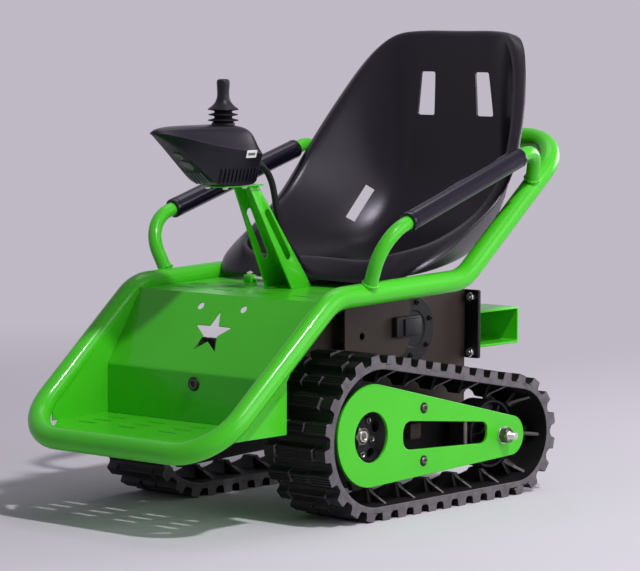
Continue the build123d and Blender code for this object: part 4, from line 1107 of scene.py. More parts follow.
def cap_screw(name, place, radius, head, socket):
    """A button-head screw with a round socket."""
    profile = [
        (0.0, 0.0), (radius, 0.0), (radius, head * 0.45), (radius * 0.86, head * 0.85), (radius * 0.62, head),
        (socket * 1.12, head), (socket, head - 0.5), (socket * 0.98, head * 0.3), (0.0, head * 0.3),
    ]
    return turned(name, profile, place, 36, 30)


WASHER_T = 2.5
washer_profile = [
    (7.2, 0.0), (13.6, 0.0), (14.0, 0.4), (14.0, WASHER_T - 0.4), (13.6, WASHER_T), (7.2, WASHER_T),
]
screw_ring_profile = [(4.0, 0.0), (8.2, 0.0), (8.4, 0.3), (8.2, 0.8), (5.9, 1.0), (4.0, 1.0)]
washers, rear_nuts = [], []
for sign in (1, -1):
    across_out = (sign, 0, 0)
    seat_x = sign * OUTER_X
    nut_x = seat_x + sign * (WASHER_T + 0.05)
    washers.append(ring_turned("washer", washer_profile, standing((seat_x, *AXLE_R), across_out), 48))
    rear_nuts.append(hex_nut("nut", standing((nut_x, *AXLE_R), across_out), 22.0, 11.0, 7.1))
washers = joined("rear_washers", washers, 28)
finish_piece(washers, ZINC, stands_for=("axle_nuts",))
rear_nuts = joined("rear_nuts", rear_nuts, 28)
finish_piece(rear_nuts, DARK_STEEL)

screws, screw_rings = [], []
for sign in (1, -1):
    for y, z in SPACERS:
        screw_place = standing((sign * (OUTER_X - 0.05), y, z), (sign, 0, 0))
        ring_place = standing((sign * (OUTER_X - 0.02), y, z), (sign, 0, 0))
        screws.append(cap_screw("screw", screw_place, 5.8, 3.0, 3.4))
        screw_rings.append(ring_turned("screw_washer", screw_ring_profile, ring_place, 36))
plate_screws = joined("plate_screws", screws, 28)
finish_piece(plate_screws, DARK_STEEL)
screw_rings = joined("screw_rings", screw_rings, 28)
finish_piece(screw_rings, BLACK_COAT)


# Axles
def threaded_bar(name, centre, radius, end_radius, tip, step, plain, pitch_mm):
    """A bar across the vehicle with threaded ends, turned down outside its nuts."""
    profile = [(0.0, -tip), (end_radius - 1.2, -tip)]
    x = -tip + 1.4
    while x < -plain:
        crest = end_radius if x < -step else radius
        profile += [(crest, x), (crest - 0.75, x + pitch_mm / 2)]
        x += pitch_mm
    profile += [(radius, -plain), (radius, plain)]
    profile += [(r, -h) for r, h in reversed(profile[:-2])]
    return turned(name, profile, standing((0, *centre), (1, 0, 0)), 36, 30)


rear_bar = threaded_bar("rear_axle_bar", AXLE_R, 7.0, 6.0, 247.0, 235.0, 222.0, 2.0)
finish_piece(rear_bar, ZINC, stands_for=("rear_axle",))

FRONT_AXLE_R, FRONT_AXLE_HALF, FRONT_NUT_X = 10.0, 206.0, 200.0
AXLE_CHAMFER = 1.4
front_end = [
    (0.0, FRONT_AXLE_HALF), (FRONT_AXLE_R - AXLE_CHAMFER, FRONT_AXLE_HALF),
    (FRONT_AXLE_R, FRONT_AXLE_HALF - AXLE_CHAMFER),
]
front_profile = [(r, -along) for r, along in front_end] + front_end[::-1]
front_bits = [turned("front_bar", front_profile, standing((0, *AXLE_F), (1, 0, 0)), 40)]
for sign in (1, -1):
    nut_place = standing((sign * FRONT_NUT_X, *AXLE_F), (sign, 0, 0))
    front_bits.append(hex_nut("front_nut", nut_place, 27.0, 5.0, 9.9))
front_set = joined("front_axle_set", front_bits, 28)
finish_piece(front_set, DARK_STEEL, stands_for=("front_axle",))
axle_ring_profile = [(5.6, 5.6), (6.4, 6.5), (8.0, 6.5), (8.6, 5.6)]
axle_rings = joined("front_axle_rings", [
    ring_turned("axle_ring", axle_ring_profile, standing((sign * FRONT_NUT_X, *AXLE_F), (sign, 0, 0)), 40)
    for sign in (1, -1)
], 28)
finish_piece(axle_rings, ZINC)

# Seen through the plate's slot: a guide block on the inner plate and an upright rod behind the outer one
guide_block = block("guide_block", (inner_x + PLATE_T - 0.5, 40.0, 103.0), (188.0, 66.0, 128.0), 2.5)
pair(guide_block, "guide_block", BROWN_GREY)
upright_profile = [(0.0, 0.0), (3.2, 0.0), (4.0, 0.8), (4.0, 45.2), (3.2, 46.0), (0.0, 46.0)]
upright = turned("upright", upright_profile, standing((212.0, 141.5, 83.0), (0, 0, 1)), 28)
pair(upright, "upright_rod", DARK_STEEL)

# Wheels
WHEEL_HALF = 199.0 - TRACK_MID


def across(y, z):
    """Placing matrix of a wheel: its own z axis runs across the vehicle."""
    return in_plane((TRACK_MID, y, z), (0, 1, 0), (0, 0, 1))


WHEEL_GAP = 0.4
TEETH, VALLEY_R, TOOTH_STEPS = 10, 13.0, 24
sprocket_r = FRONT_TIP - LUG_H - BELT_T - GUIDE_H - WHEEL_GAP
sprocket_outline = []
for k in range(TEETH * TOOTH_STEPS):
    a = 2 * math.pi * k / (TEETH * TOOTH_STEPS) + math.pi / TEETH
    near = ((a - math.pi / TEETH) % (2 * math.pi / TEETH)) - math.pi / TEETH
    aside = abs(sprocket_r * math.sin(near))
    r = sprocket_r
    if aside < VALLEY_R:
        r = sprocket_r * math.cos(near) - math.sqrt(VALLEY_R ** 2 - aside ** 2)
    sprocket_outline.append((r * math.cos(a), r * math.sin(a)))
disc_holes = []
for k in range(6):
    a = math.radians(60 * k + 15)
    disc_holes.append(circle(42 * math.cos(a), 42 * math.sin(a), 8.5, 24))
disc_holes.append(circle(0, 0, FRONT_BORE + 0.05, 36))
wheel_parts = []
for shift in (-17.0, 8.0):
    disc_place = across(*AXLE_F) @ Matrix.Translation((0, 0, shift))
    wheel_parts.append(plate("sprocket_disc", sprocket_outline, disc_holes, 9.0, disc_place, 0.8))
hub_half = [
    (FRONT_BORE, WHEEL_HALF), (16.5, WHEEL_HALF), (17.5, WHEEL_HALF - 1), (18.6, 17.0), (24.0, 16.0),
    (24.0, 8.0), (30.0, 7.0), (56.0, 7.0), (57.5, 6.0),
]
hub_profile = [(r, -along) for r, along in hub_half] + hub_half[::-1]
wheel_parts.append(ring_turned("sprocket_hub", hub_profile, across(*AXLE_F), 56))
sprocket = joined("sprocket", wheel_parts, 32)
pair(sprocket, "sprocket", CAST, ("drive_wheel_left", "drive_wheel_right"), ("drive_wheel",))

bolt_rounds = []
for k in range(6):
    a = math.radians(60 * k - 15)
    bolt_place = across(*AXLE_F) @ Matrix.Translation((30 * math.cos(a), 30 * math.sin(a), 17.0))
    bolt_rounds.append(hex_nut("hub_bolt", bolt_place, 10.0, 4.5, 2.5))
hub_bolts = joined("hub_bolts", bolt_rounds, 28)
pair(hub_bolts, "hub_bolts", ZINC, ("drive_wheel_left", "drive_wheel_right"))

idler_r = AXLE_R[1] - LUG_H - BELT_T - GUIDE_H - WHEEL_GAP
idler_half = [
    (REAR_BORE, WHEEL_HALF - 2), (17.0, WHEEL_HALF - 2), (18.0, WHEEL_HALF - 3), (18.0, WHEEL_HALF - 12),
    (idler_r - 6.0, WHEEL_HALF - 14), (idler_r - 4.0, WHEEL_HALF - 10), (idler_r - 4.0, WHEEL_HALF - 1),
    (idler_r - 3.0, WHEEL_HALF), (idler_r - 1.0, WHEEL_HALF), (idler_r, WHEEL_HALF - 1.2),
]
idler_profile = [(r, -along) for r, along in idler_half] + idler_half[::-1]
idler = ring_turned("idler", idler_profile, across(*AXLE_R), 64)
spokes = []
for k in range(6):
    a = math.radians(60 * k)
    for sign in (1, -1):
        rib = block("rib", (17.0, -2.0, 0.0), (idler_r - 4.5, 2.0, 9.0), 0.8)
        out_along = Matrix.Translation((0, 0, sign * (WHEEL_HALF - 8.5) - 4.5))
        move(rib, across(*AXLE_R) @ Matrix.Rotation(a, 4, "Z") @ out_along)
        spokes.append(rib)
idler = joined("idler", [idler] + spokes, 32)
pair(idler, "idler_drum", CAST, ("idler_wheel_left", "idler_wheel_right"), ("idler_wheel",))


# Joystick stand: a folded channel, open in front, with a long slot in each side
STAND_PLATE, STAND_BEND_R = 3.0, 7.0
STAND_FOOT_W, STAND_TOP_W = 28.0, 17.0
STAND_FOOT_Y, STAND_TOP_Y = (-52.0, -2.0), (-137.0, -112.0)
STAND_FOOT_Z, STAND_TOP_Z = 333.0, 490.0
STAND_SLOT_Z, STAND_SLOT_W = (381.0, 448.0), 12.0


def cut(obj, cutters, angle=30.0):
    """Cuts other closed meshes out of a piece."""
    for cutter in cutters:
        modifier = obj.modifiers.new("cut", "BOOLEAN")
        modifier.operation = "DIFFERENCE"
        modifier.solver = "EXACT"
        modifier.object = cutter
    new = applied(obj, angle)
    for cutter in cutters:
        bpy.data.objects.remove(cutter)
    return new


def eased(obj, width):
    """Rounds the sharp edges of a piece."""
    modifier = obj.modifiers.new("ease", "BEVEL")
    modifier.width = width * MM
    modifier.segments = 2
    modifier.limit_method = "ANGLE"
    modifier.angle_limit = math.radians(40.0)
    return applied(obj, 40.0)


def lofted(name, rings):
    """A capped skin through rings of points that all have the same count."""
    count = len(rings[0])
    verts = [p for ring in rings for p in ring]
    faces = []
    for i in range(len(rings) - 1):
        for k in range(count):
            m = (k + 1) % count
            faces.append((i * count + k, i * count + m, (i + 1) * count + m, (i + 1) * count + k))
    faces.append(tuple(range(count)))
    faces.append(tuple(range((len(rings) - 1) * count, len(rings) * count)))
    return object_from(name, verts, faces, 40.0)


def stand_section(share):
    """Outline of the folded channel at a share of its height, as points at that height."""
    half = STAND_FOOT_W + (STAND_TOP_W - STAND_FOOT_W) * share
    front = STAND_FOOT_Y[0] + (STAND_TOP_Y[0] - STAND_FOOT_Y[0]) * share
    rear = STAND_FOOT_Y[1] + (STAND_TOP_Y[1] - STAND_FOOT_Y[1]) * share
    sides = []
    for inset in (0.0, STAND_PLATE):
        radius = STAND_BEND_R - inset
        right = [(half - inset, front)]
        for k in range(5):
            a = math.radians(90 * k / 4)
            out, back = radius * math.cos(a), radius * math.sin(a)
            right.append((half - STAND_BEND_R + out, rear - STAND_BEND_R + back))
        sides.append(right + [(-x, y) for x, y in reversed(right)])
    return sides[0] + sides[1][::-1]


stand_rings = []
for share in (0.0, 0.5, 1.0):
    ring = []
    for x, y in stand_section(share):
        foot = deck_z(y)
        ring.append((x, y, foot + (STAND_TOP_Z - foot) * share))
    stand_rings.append(ring)
stand = lofted("stand", stand_rings)
slot_ends = []
for z in STAND_SLOT_Z:
    share = (z - STAND_FOOT_Z) / (STAND_TOP_Z - STAND_FOOT_Z)
    twice_mid_y = sum(STAND_FOOT_Y) + (sum(STAND_TOP_Y) - sum(STAND_FOOT_Y)) * share
    slot_ends.append(Vector((0, twice_mid_y / 2, z)))
slot_dir = slot_ends[1] - slot_ends[0]
slot_plane = in_plane((slot_ends[0] + slot_ends[1]) / 2, slot_dir, slot_dir.cross(Vector((1, 0, 0))))
slot_outline = slot_hole(0, 0, slot_dir.length + STAND_SLOT_W, STAND_SLOT_W, 10)
slot_rings = [[slot_plane @ Vector((x, y, h)) for x, y in slot_outline] for h in (-60.0, 60.0)]
cutter = lofted("slot_cutter", slot_rings)
stand = cut(stand, [cutter])
stand = eased(stand, 0.6)
finish_piece(stand, LIME, stands_for=("joystick_stand",))

# Tray under the pod
TRAY_W = 24.0
TRAY_Y = (-200.0, -108.0)
tray_corners = [(-TRAY_W, TRAY_Y[0]), (TRAY_W, TRAY_Y[0]), (TRAY_W, TRAY_Y[1]), (-TRAY_W, TRAY_Y[1])]
tray_outline = rounded_polygon(tray_corners, 8.0)
tray = plate("tray", tray_outline, [], SHEET, in_plane((0, 0, STAND_TOP_Z), (1, 0, 0), (0, 1, 0)), 0.5)
finish_piece(tray, LIME, stands_for=("joystick_tray",))
tray_screws = joined("tray_screws", [
    cap_screw("tray_screw", standing((x, y, STAND_TOP_Z + 0.1), (0, 0, -1)), 4.6, 3.4, 2.2)
    for x in (-18.0, 18.0) for y in (-190.0, -148.0)
], 28)
finish_piece(tray_screws, ZINC)

# Joystick pod
# Sections from the nose back: y, then height and half width of the base, of the crease and of the top
POD_TABLE = [
    (-327.0, 572.0, 3.0, 574.5, 6.0, 577.0, 3.0),
    (-318.0, 568.0, 8.0, 573.5, 16.0, 580.0, 10.0),
    (-296.0, 555.0, 14.0, 569.0, 27.0, 582.5, 19.0),
    (-270.0, 536.0, 18.5, 563.5, 34.0, 583.5, 24.5),
    (-240.0, 513.0, 22.5, 556.0, 39.5, 583.5, 28.5),
    (-214.0, 493.0, 25.0, 551.0, 42.5, 583.5, 31.0),
    (-182.0, 492.2, 26.0, 546.5, 44.0, 584.0, 32.0),
    (-156.0, 492.2, 26.0, 543.0, 43.5, 581.0, 31.0),
    (-139.0, 492.6, 25.0, 541.0, 40.5, 573.0, 27.5),
    (-127.0, 495.0, 22.0, 539.0, 35.0, 560.0, 20.5),
]


def pod_half(low_z, low_w, mid_z, mid_w, top_z, top_w):
    """Half of a pod section from the middle of its base to the middle of its top."""
    tall, swell = mid_z - low_z, mid_w - low_w
    cap, draw_in = top_z - mid_z, top_w - mid_w
    return [
        (0.0, low_z), (low_w * 0.72, low_z), (low_w, low_z + 0.4),
        (low_w + 0.6, low_z + min(3.0, tall * 0.3)),
        (low_w + swell * 0.36, low_z + tall * 0.42), (low_w + swell * 0.78, low_z + tall * 0.80),
        (mid_w - 0.2, mid_z - 1.4), (mid_w, mid_z), (mid_w - 1.6, mid_z + cap * 0.12),
        (mid_w + draw_in * 0.62, mid_z + cap * 0.52), (top_w, top_z - 2.2),
        (top_w * 0.62, top_z - 0.3), (0.0, top_z),
    ]


pod_rings = []
for y, *sizes in POD_TABLE:
    half = pod_half(*sizes)
    pod_rings.append([(x, y, z) for x, z in half] + [(-x, y, z) for x, z in half[-2:0:-1]])
tail = pod_rings[-1]
tail_mid = Vector((0, POD_TABLE[-1][0], 530.0))
for grow, back in ((0.86, 6.0), (0.62, 9.6), (0.30, 11.4)):
    pod_rings.append([tail_mid + (Vector(p) - tail_mid) * grow + Vector((0, back, 0)) for p in tail])
pod = lofted("pod", pod_rings)
ring_size = len(pod_rings[0])
sharp_columns = {2: 0.75, 7: 0.85, ring_size - 2: 0.75, ring_size - 7: 0.85}
crease = pod.data.attributes.new("crease_edge", "FLOAT", "EDGE")
for edge in pod.data.edges:
    (row_a, column_a), (row_b, column_b) = (divmod(v, ring_size) for v in edge.vertices)
    if column_a == column_b and column_a in sharp_columns:
        on_tail = max(row_a, row_b) >= len(POD_TABLE)
        crease.data[edge.index].value = 0.2 if on_tail else sharp_columns[column_a]
subdivide = pod.modifiers.new("smooth", "SUBSURF")
subdivide.levels = subdivide.render_levels = 2
pod = applied(pod, 50)
finish_piece(pod, POD, stands_for=("joystick_pod",))


def pod_side(y, z):
    """Half width of the pod below its crease."""
    for (y0, *a), (y1, *b) in zip(POD_TABLE, POD_TABLE[1:]):
        if y0 <= y <= y1:
            s = (y - y0) / (y1 - y0)
            low_z, low_w, mid_z, mid_w = (a[i] + (b[i] - a[i]) * s for i in range(4))
            t = max(0.0, min(1.0, (z - low_z) / (mid_z - low_z)))
            return low_w + (mid_w - low_w) * t ** 1.15
    return 26.0


# Upright ribs low on the pod's sides
rib_foot, rib_head = 497.0, 519.0
rib_tall = rib_head - rib_foot
lean_out = pod_side(-160.0, rib_head) - pod_side(-160.0, rib_foot)
rib_verts, rib_faces = [], []
for h, swell in ((0.0, 0.0), (2.0, 1.3), (rib_tall - 3.0, 1.5), (rib_tall, 0.2)):
    x = lean_out * h / rib_tall
    rib_verts += [(x - 2.5, -1.6, h), (x + swell, -0.9, h), (x + swell, 0.9, h), (x - 2.5, 1.6, h)]
for i in range(3):
    for k in range(4):
        m = (k + 1) % 4
        rib_faces.append((4 * i + k, 4 * i + m, 4 * i + 4 + m, 4 * i + 4 + k))
rib_faces += [(0, 3, 2, 1), (12, 13, 14, 15)]
rib_path = [(pod_side(y, rib_foot) + 0.2, y, rib_foot) for y in range(-212, -131, 4)]
pod_rib = object_from("rib", rib_verts, rib_faces, 40)
pod_ribs = repeated("pod_ribs", pod_rib, rib_path, 11, POD, closed=False)
pair(pod_ribs, "pod_ribs", POD)

# Horn rings and vents under the nose, pale grey as a painted highlight on their rims
UNDER_START, UNDER_END = Vector((0, -214.0, 493.0)), Vector((0, -296.0, 555.0))
under_dir = (UNDER_END - UNDER_START).normalized()
under_out = Vector((1, 0, 0)).cross(under_dir)
under_place = Matrix((Vector((1, 0, 0)), under_dir, under_out)).transposed().to_4x4()


def on_underside(along):
    """A placing matrix on the sloping underside of the nose."""
    return Matrix.Translation(UNDER_START + under_dir * along) @ under_place


small_ring = [(6.6, -1.0), (6.6, 1.1), (7.4, 1.7), (8.4, 1.1), (8.6, -1.0)]
large_ring = [(9.6, -1.0), (9.6, 0.8), (10.4, 1.5), (11.6, 0.8), (11.9, -1.0)]
horn = [
    ring_turned("horn_ring", small_ring, on_underside(76.0), 40),
    ring_turned("horn_ring", large_ring, on_underside(52.0), 44),
    turned("horn_grille", [(9.7, -0.8), (9.7, -0.1), (5.0, 0.5), (0.0, 0.6)], on_underside(52.0), 32),
    turned("horn_cap", [(6.7, -0.8), (6.7, 0.2), (3.0, 0.9), (0.0, 1.0)], on_underside(76.0), 32),
]
for k in range(5):
    x = (k - 2) * 7.0
    bar = block("vent_bar", (x - 1.1, -15.0, -1.2), (x + 1.1, 15.0, 1.3), 0.5)
    move(bar, on_underside(20.0))
    horn.append(bar)
pod_under = joined("pod_under", horn, 35)
finish_piece(pod_under, POD_GREY_AND_HIGHLIGHT)

# A blank label with a plain bar on the pod's side
label_y, label_z = -160.0, 540.0
label_place = in_plane((pod_side(label_y, label_z) + 0.2, label_y, label_z), (0, 1, 0), (0.32, 0, 1))
label_shape = rounded_polygon([(-11.0, -6.0), (11.0, -6.0), (11.0, 6.0), (-11.0, 6.0)], 2.0)
label = plate("pod_label", label_shape, [], 0.9, label_place, 0.2)
finish_piece(label, LABEL)
mark_shape = rounded_polygon([(-7.5, -2.0), (7.5, -2.0), (7.5, 2.0), (-7.5, 2.0)], 0.6)
label_mark = plate("pod_label_mark", mark_shape, [], 1.1, label_place, 0.1)
finish_piece(label_mark, POD_GREY_AND_HIGHLIGHT)

# Boot, lever and cable
STICK = Vector((0, -176.0, 0))
boot_profile = [
    (0.0, 582.0), (17.5, 582.0), (17.5, 585.0), (16.6, 586.0), (15.0, 586.8), (16.0, 587.6),
    (22.4, 588.6), (23.2, 589.4), (22.4, 590.4), (14.5, 592.2), (13.0, 594.0), (14.2, 595.6), (21.6, 597.0),
    (22.3, 597.8), (21.6, 598.8), (14.0, 600.4), (13.0, 602.0), (14.2, 603.4), (22.4, 604.8), (23.2, 605.7),
    (22.4, 606.9), (18.4, 609.6), (14.6, 613.0), (11.8, 616.8), (10.6, 620.4), (0.0, 620.4),
]
boot = turned("boot", boot_profile, Matrix.Translation(STICK), 56, 50)
finish_piece(boot, BOOT, stands_for=("joystick_boot",))
knob_profile = [
    (0.0, 618.0), (10.2, 618.0), (10.0, 621.5), (9.2, 625.0), (9.0, 630.0), (9.6, 642.0),
    (9.8, 646.0), (9.4, 648.4), (8.2, 650.0), (5.6, 650.8), (0.0, 651.0),
]
knob = turned("knob", knob_profile, Matrix.Translation(STICK), 48, 50)
finish_piece(knob, BOOT, stands_for=("joystick_knob",))

CABLE_ROUTE = [
    (0, -0.104, 0.524), (0, -0.084, 0.516), (0, -0.069, 0.498), (0, -0.061, 0.474), (0, -0.056, 0.446),
    (0, -0.045, 0.417), (0, -0.027, 0.391), (0, -0.003, 0.369), (0, 0.009, 0.345),
]
CABLE_R = 0.005
cable_curve = bpy.data.curves.new("joystick_cable", "CURVE")
cable_curve.dimensions = "3D"
cable_line = cable_curve.splines.new("NURBS")
cable_line.points.add(len(CABLE_ROUTE) - 1)
for point, place in zip(cable_line.points, CABLE_ROUTE):
    point.co = (*place, 1)
cable_line.order_u = 3
cable_line.use_endpoint_u = True
cable_line.resolution_u = 10
cable_curve.bevel_depth = CABLE_R
cable_curve.bevel_resolution = 6
cable_curve.use_fill_caps = True
cable_curve.materials.append(BOOT)
cable = bpy.data.objects.new("joystick_cable", cable_curve)
scene.collection.objects.link(cable)
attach(cable, FRAME_BODY)
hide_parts("control_cable")

relief_profile = [(0.0, -10.0), (9.5, -10.0), (9.5, -2.0)]
for k in range(5):
    h = -2.0 + 4.4 * k
    r = 8.4 - 0.55 * k
    relief_profile += [(r, h + 0.4), (r, h + 2.8), (r - 0.9, h + 3.2), (r - 0.9, h + 4.2)]
relief_profile += [(5.2, 21.0), (0.0, 21.0)]
relief = turned("cable_relief", relief_profile, standing((0, -108.0, 525.6), (0, 20.0, -8.0)), 36, 35)
finish_piece(relief, BOOT)
GROMMET_Y = 9.0
grommet_profile = [
    (0.0, 0.0), (12.0, 0.0), (12.0, 2.0), (11.0, 3.2), (8.6, 3.8), (8.0, 5.0), (8.0, 6.4), (7.0, 7.0),
    (7.0, 8.2), (7.6, 8.8), (7.4, 10.2), (6.4, 11.0), (6.0, 12.4), (0.0, 12.4),
]
grommet_place = standing((0, GROMMET_Y, deck_z(GROMMET_Y)), (0, -math.sin(TILT), math.cos(TILT)))
grommet = turned("deck_grommet", grommet_profile, grommet_place, 40, 35)
finish_piece(grommet, BOOT, stands_for=("cable_grommet",))

# Latch on the deck beside the stand
LATCH_X, LATCH_Y = -89.0, SHOULDER_Y + 140.0 * math.cos(TILT)
LATCH_HALF, LATCH_TALL = 8.0, 12.0
latch_z = deck_z(LATCH_Y)
latch_top = latch_z + LATCH_TALL
latch_body = block(
    "latch_body", (LATCH_X - LATCH_HALF, LATCH_Y - LATCH_HALF, latch_z),
    (LATCH_X + LATCH_HALF, LATCH_Y + LATCH_HALF, latch_top), 2.0,
)
finish_piece(latch_body, LIME)
pin_profile = [(0.0, 0.0), (2.4, 0.0), (3.0, 0.6), (3.0, 22.6), (2.4, 23.4), (0.0, 23.4)]
stud_profile = [(0.0, 0.0), (2.6, 0.0), (2.6, 5.0), (2.0, 5.6), (0.0, 5.6)]
latch = joined("latch", [
    turned("latch_pin", pin_profile, standing((LATCH_X + 7.0, LATCH_Y, latch_z + 7.0), (1, 0, 0)), 28),
    hex_nut("latch_nut", standing((LATCH_X, LATCH_Y, latch_top), (0, 0, 1)), 10.0, 4.0, 2.6),
    turned("latch_stud", stud_profile, standing((LATCH_X, LATCH_Y, latch_top), (0, 0, 1)), 24),
], 30)
finish_piece(latch, ZINC, stands_for=("deck_fitting",))

# Bucket seat
# Rows from the front lip up to the top edge: y and z of the floor, y and z of the rim,
# half width of the floor, half width of the rim, and how far the floor swells towards the rider
SEAT_TABLE = [
    (22.0, 333.2, 26.0, 382.0, 108.0, 152.0, 39.0),
    (50.0, 334.1, 56.0, 388.0, 112.0, 178.0, 16.0),
    (92.0, 335.4, 100.0, 402.0, 116.0, 197.0, 5.0),
    (160.0, 337.6, 165.0, 432.0, 118.0, 209.0, 5.0),
    (225.0, 347.0, 213.0, 467.0, 120.0, 214.0, 5.0),
    (285.0, 364.0, 248.0, 508.0, 120.0, 212.0, 5.0),
    (338.0, 402.0, 275.0, 549.0, 119.0, 202.0, 5.0),
    (372.0, 455.0, 303.0, 594.0, 116.0, 188.0, 5.0),
    (383.0, 530.0, 333.0, 646.0, 108.0, 169.0, 5.0),
    (383.0, 615.0, 354.0, 693.0, 96.0, 148.0, 5.0),
    (381.0, 682.0, 366.0, 711.0, 88.0, 129.0, 5.0),
    (381.0, 706.0, 377.0, 717.0, 82.0, 112.0, 5.0),
]


def between(rows, u):
    """A smooth curve through the rows of a table."""
    i = min(int(u), len(rows) - 2)
    t = u - i
    before, here, after = rows[max(i - 1, 0)], rows[i], rows[i + 1]
    beyond = rows[min(i + 2, len(rows) - 1)]
    made = []
    for a, b, c, d in zip(before, here, after, beyond):
        bow = (2 * a - 5 * b + 4 * c - d) * t * t + (3 * b - a - 3 * c + d) * t ** 3
        made.append(0.5 * (2 * b + (c - a) * t + bow))
    return made


SEAT_ROWS, SEAT_COLUMNS = 56, 21
ROLL_R, BAND, FLARE = 11.0, 10.0, 0.14
LIP = ROLL_R + BAND * FLARE + 1.0
FLAT_SHARE, FLAT_INSET, DISH, SIDE_CURVE = 0.34, 22.0, 5.0, 1.75
seat_grid = []
for i in range(SEAT_ROWS + 1):
    sizes = between(SEAT_TABLE, (len(SEAT_TABLE) - 1) * i / SEAT_ROWS)
    low_y, low_z, rim_y, rim_z, floor_w, rim_w, floor_t = sizes
    rise_dir = Vector((0, rim_y - low_y, rim_z - low_z))
    tall = rise_dir.length
    rise_dir.normalize()
    flat = floor_w - FLAT_INSET
    row = []
    for k in range(-SEAT_COLUMNS, SEAT_COLUMNS + 1):
        t = abs(k) / SEAT_COLUMNS
        over_floor = min(t / FLAT_SHARE, 1.0)
        share = max(0.0, (t - FLAT_SHARE) / (1 - FLAT_SHARE))
        x = flat * over_floor + share * (rim_w - LIP - flat)
        h = DISH * over_floor ** 2 * (1 - share) + share ** SIDE_CURVE * tall + floor_t * (1 - share)
        row.append(Vector((math.copysign(x, k) if k else 0.0, low_y, low_z)) + rise_dir * h)
    seat_grid.append(row)


def boundary_of(grid):
    """The edge of a grid as one loop of (row, column)."""
    rows, columns = len(grid), len(grid[0])
    loop = [(0, k) for k in range(columns)]
    loop += [(i, columns - 1) for i in range(1, rows)]
    loop += [(rows - 1, k) for k in range(columns - 2, -1, -1)]
    loop += [(i, 0) for i in range(rows - 2, 0, -1)]
    return loop


def seat_normal(i, k):
    """Direction from the shell towards the rider."""
    rows, columns = len(seat_grid), len(seat_grid[0])
    along = seat_grid[min(i + 1, rows - 1)][k] - seat_grid[max(i - 1, 0)][k]
    across_seat = seat_grid[i][min(k + 1, columns - 1)] - seat_grid[i][max(k - 1, 0)]
    return across_seat.cross(along).normalized()


# The edge is smoothed most at the top corners and along the front lip
EDGE_PASSES, GRID_PASSES, OUTWARD_PASSES = 48, 6, 8
edge_loop = boundary_of(seat_grid)
edge_points = [seat_grid[i][k] for i, k in edge_loop]
edge_normals = [seat_normal(i, k) for i, k in edge_loop]
count = len(edge_loop)
rounding = [min(1.0, 0.2 + max(0.0, (i - SEAT_ROWS + 20) / 12, (8 - i) / 10)) for i, _ in edge_loop]
for _ in range(EDGE_PASSES):
    edge_normals = [
        (edge_normals[n - 1] + edge_normals[n] * 2 + edge_normals[(n + 1) % count]).normalized()
        for n in range(count)
    ]
    edge_points = [
        edge_points[n].lerp((edge_points[n - 1] + edge_points[(n + 1) % count]) / 2, 0.5 * rounding[n])
        for n in range(count)
    ]
for (i, k), point in zip(edge_loop, edge_points):
    seat_grid[i][k] = point
for _ in range(GRID_PASSES):
    eased_grid = [list(row) for row in seat_grid]
    for i in range(1, SEAT_ROWS):
        for k in range(1, 2 * SEAT_COLUMNS):
            around = seat_grid[i - 1][k] + seat_grid[i + 1][k] + seat_grid[i][k - 1] + seat_grid[i][k + 1]
            eased_grid[i][k] = seat_grid[i][k].lerp(around / 4, 0.5)
    seat_grid = eased_grid
outwards = []
for n in range(count):
    tangent = edge_points[(n + 1) % count] - edge_points[n - 1]
    outwards.append(tangent.cross(edge_normals[n]).normalized())
for _ in range(OUTWARD_PASSES):
    outwards = [
        (outwards[n - 1] + outwards[n] + outwards[(n + 1) % count]).normalized()
        for n in range(count)
    ]

# The rolled edge, then a band below it that reaches down to the deck at the front
bands = []
for (i, _), point, facing in zip(edge_loop, edge_points, edge_normals):
    near_deck = max(0.0, 1.0 - i / 15.0) ** 1.5
    to_deck = max(BAND, (point.z - deck_z(point.y) - ROLL_R - 1.0) / max(facing.z, 0.5))
    bands.append(BAND + (to_deck - BAND) * near_deck)
rings = []
for turn, drop in ((22, 0), (45, 0), (68, 0), (90, 0), (90, 0.45), (90, 1.0)):
    a = math.radians(turn)
    rings.append([
        edge_points[n] + outwards[n] * (ROLL_R * math.sin(a) + BAND * drop * FLARE)
        - edge_normals[n] * (ROLL_R * (1 - math.cos(a)) + bands[n] * drop)
        for n in range(count)
    ])
seat_verts = [p for row in seat_grid for p in row]
columns_count = len(seat_grid[0])
seat_faces = []
for i in range(len(seat_grid) - 1):
    for k in range(columns_count - 1):
        a = i * columns_count + k
        seat_faces.append((a, a + 1, a + 1 + columns_count, a + columns_count))
inner_ids = [i * columns_count + k for i, k in edge_loop]
for ring in rings:
    ids = list(range(len(seat_verts), len(seat_verts) + count))
    seat_verts += ring
    for n in range(count):
        m = (n + 1) % count
        seat_faces.append((inner_ids[m], inner_ids[n], ids[n], ids[m]))
    inner_ids = ids
SEAT_WALL = 4.2
seat = object_from("seat", seat_verts, seat_faces, 60, outward=False)
wall = seat.modifiers.new("wall", "SOLIDIFY")
wall.thickness = SEAT_WALL * MM
wall.offset = -1.0
wall.use_even_offset = True
soft = seat.modifiers.new("soft", "SUBSURF")
soft.levels = soft.render_levels = 1
seat = applied(seat, 50)
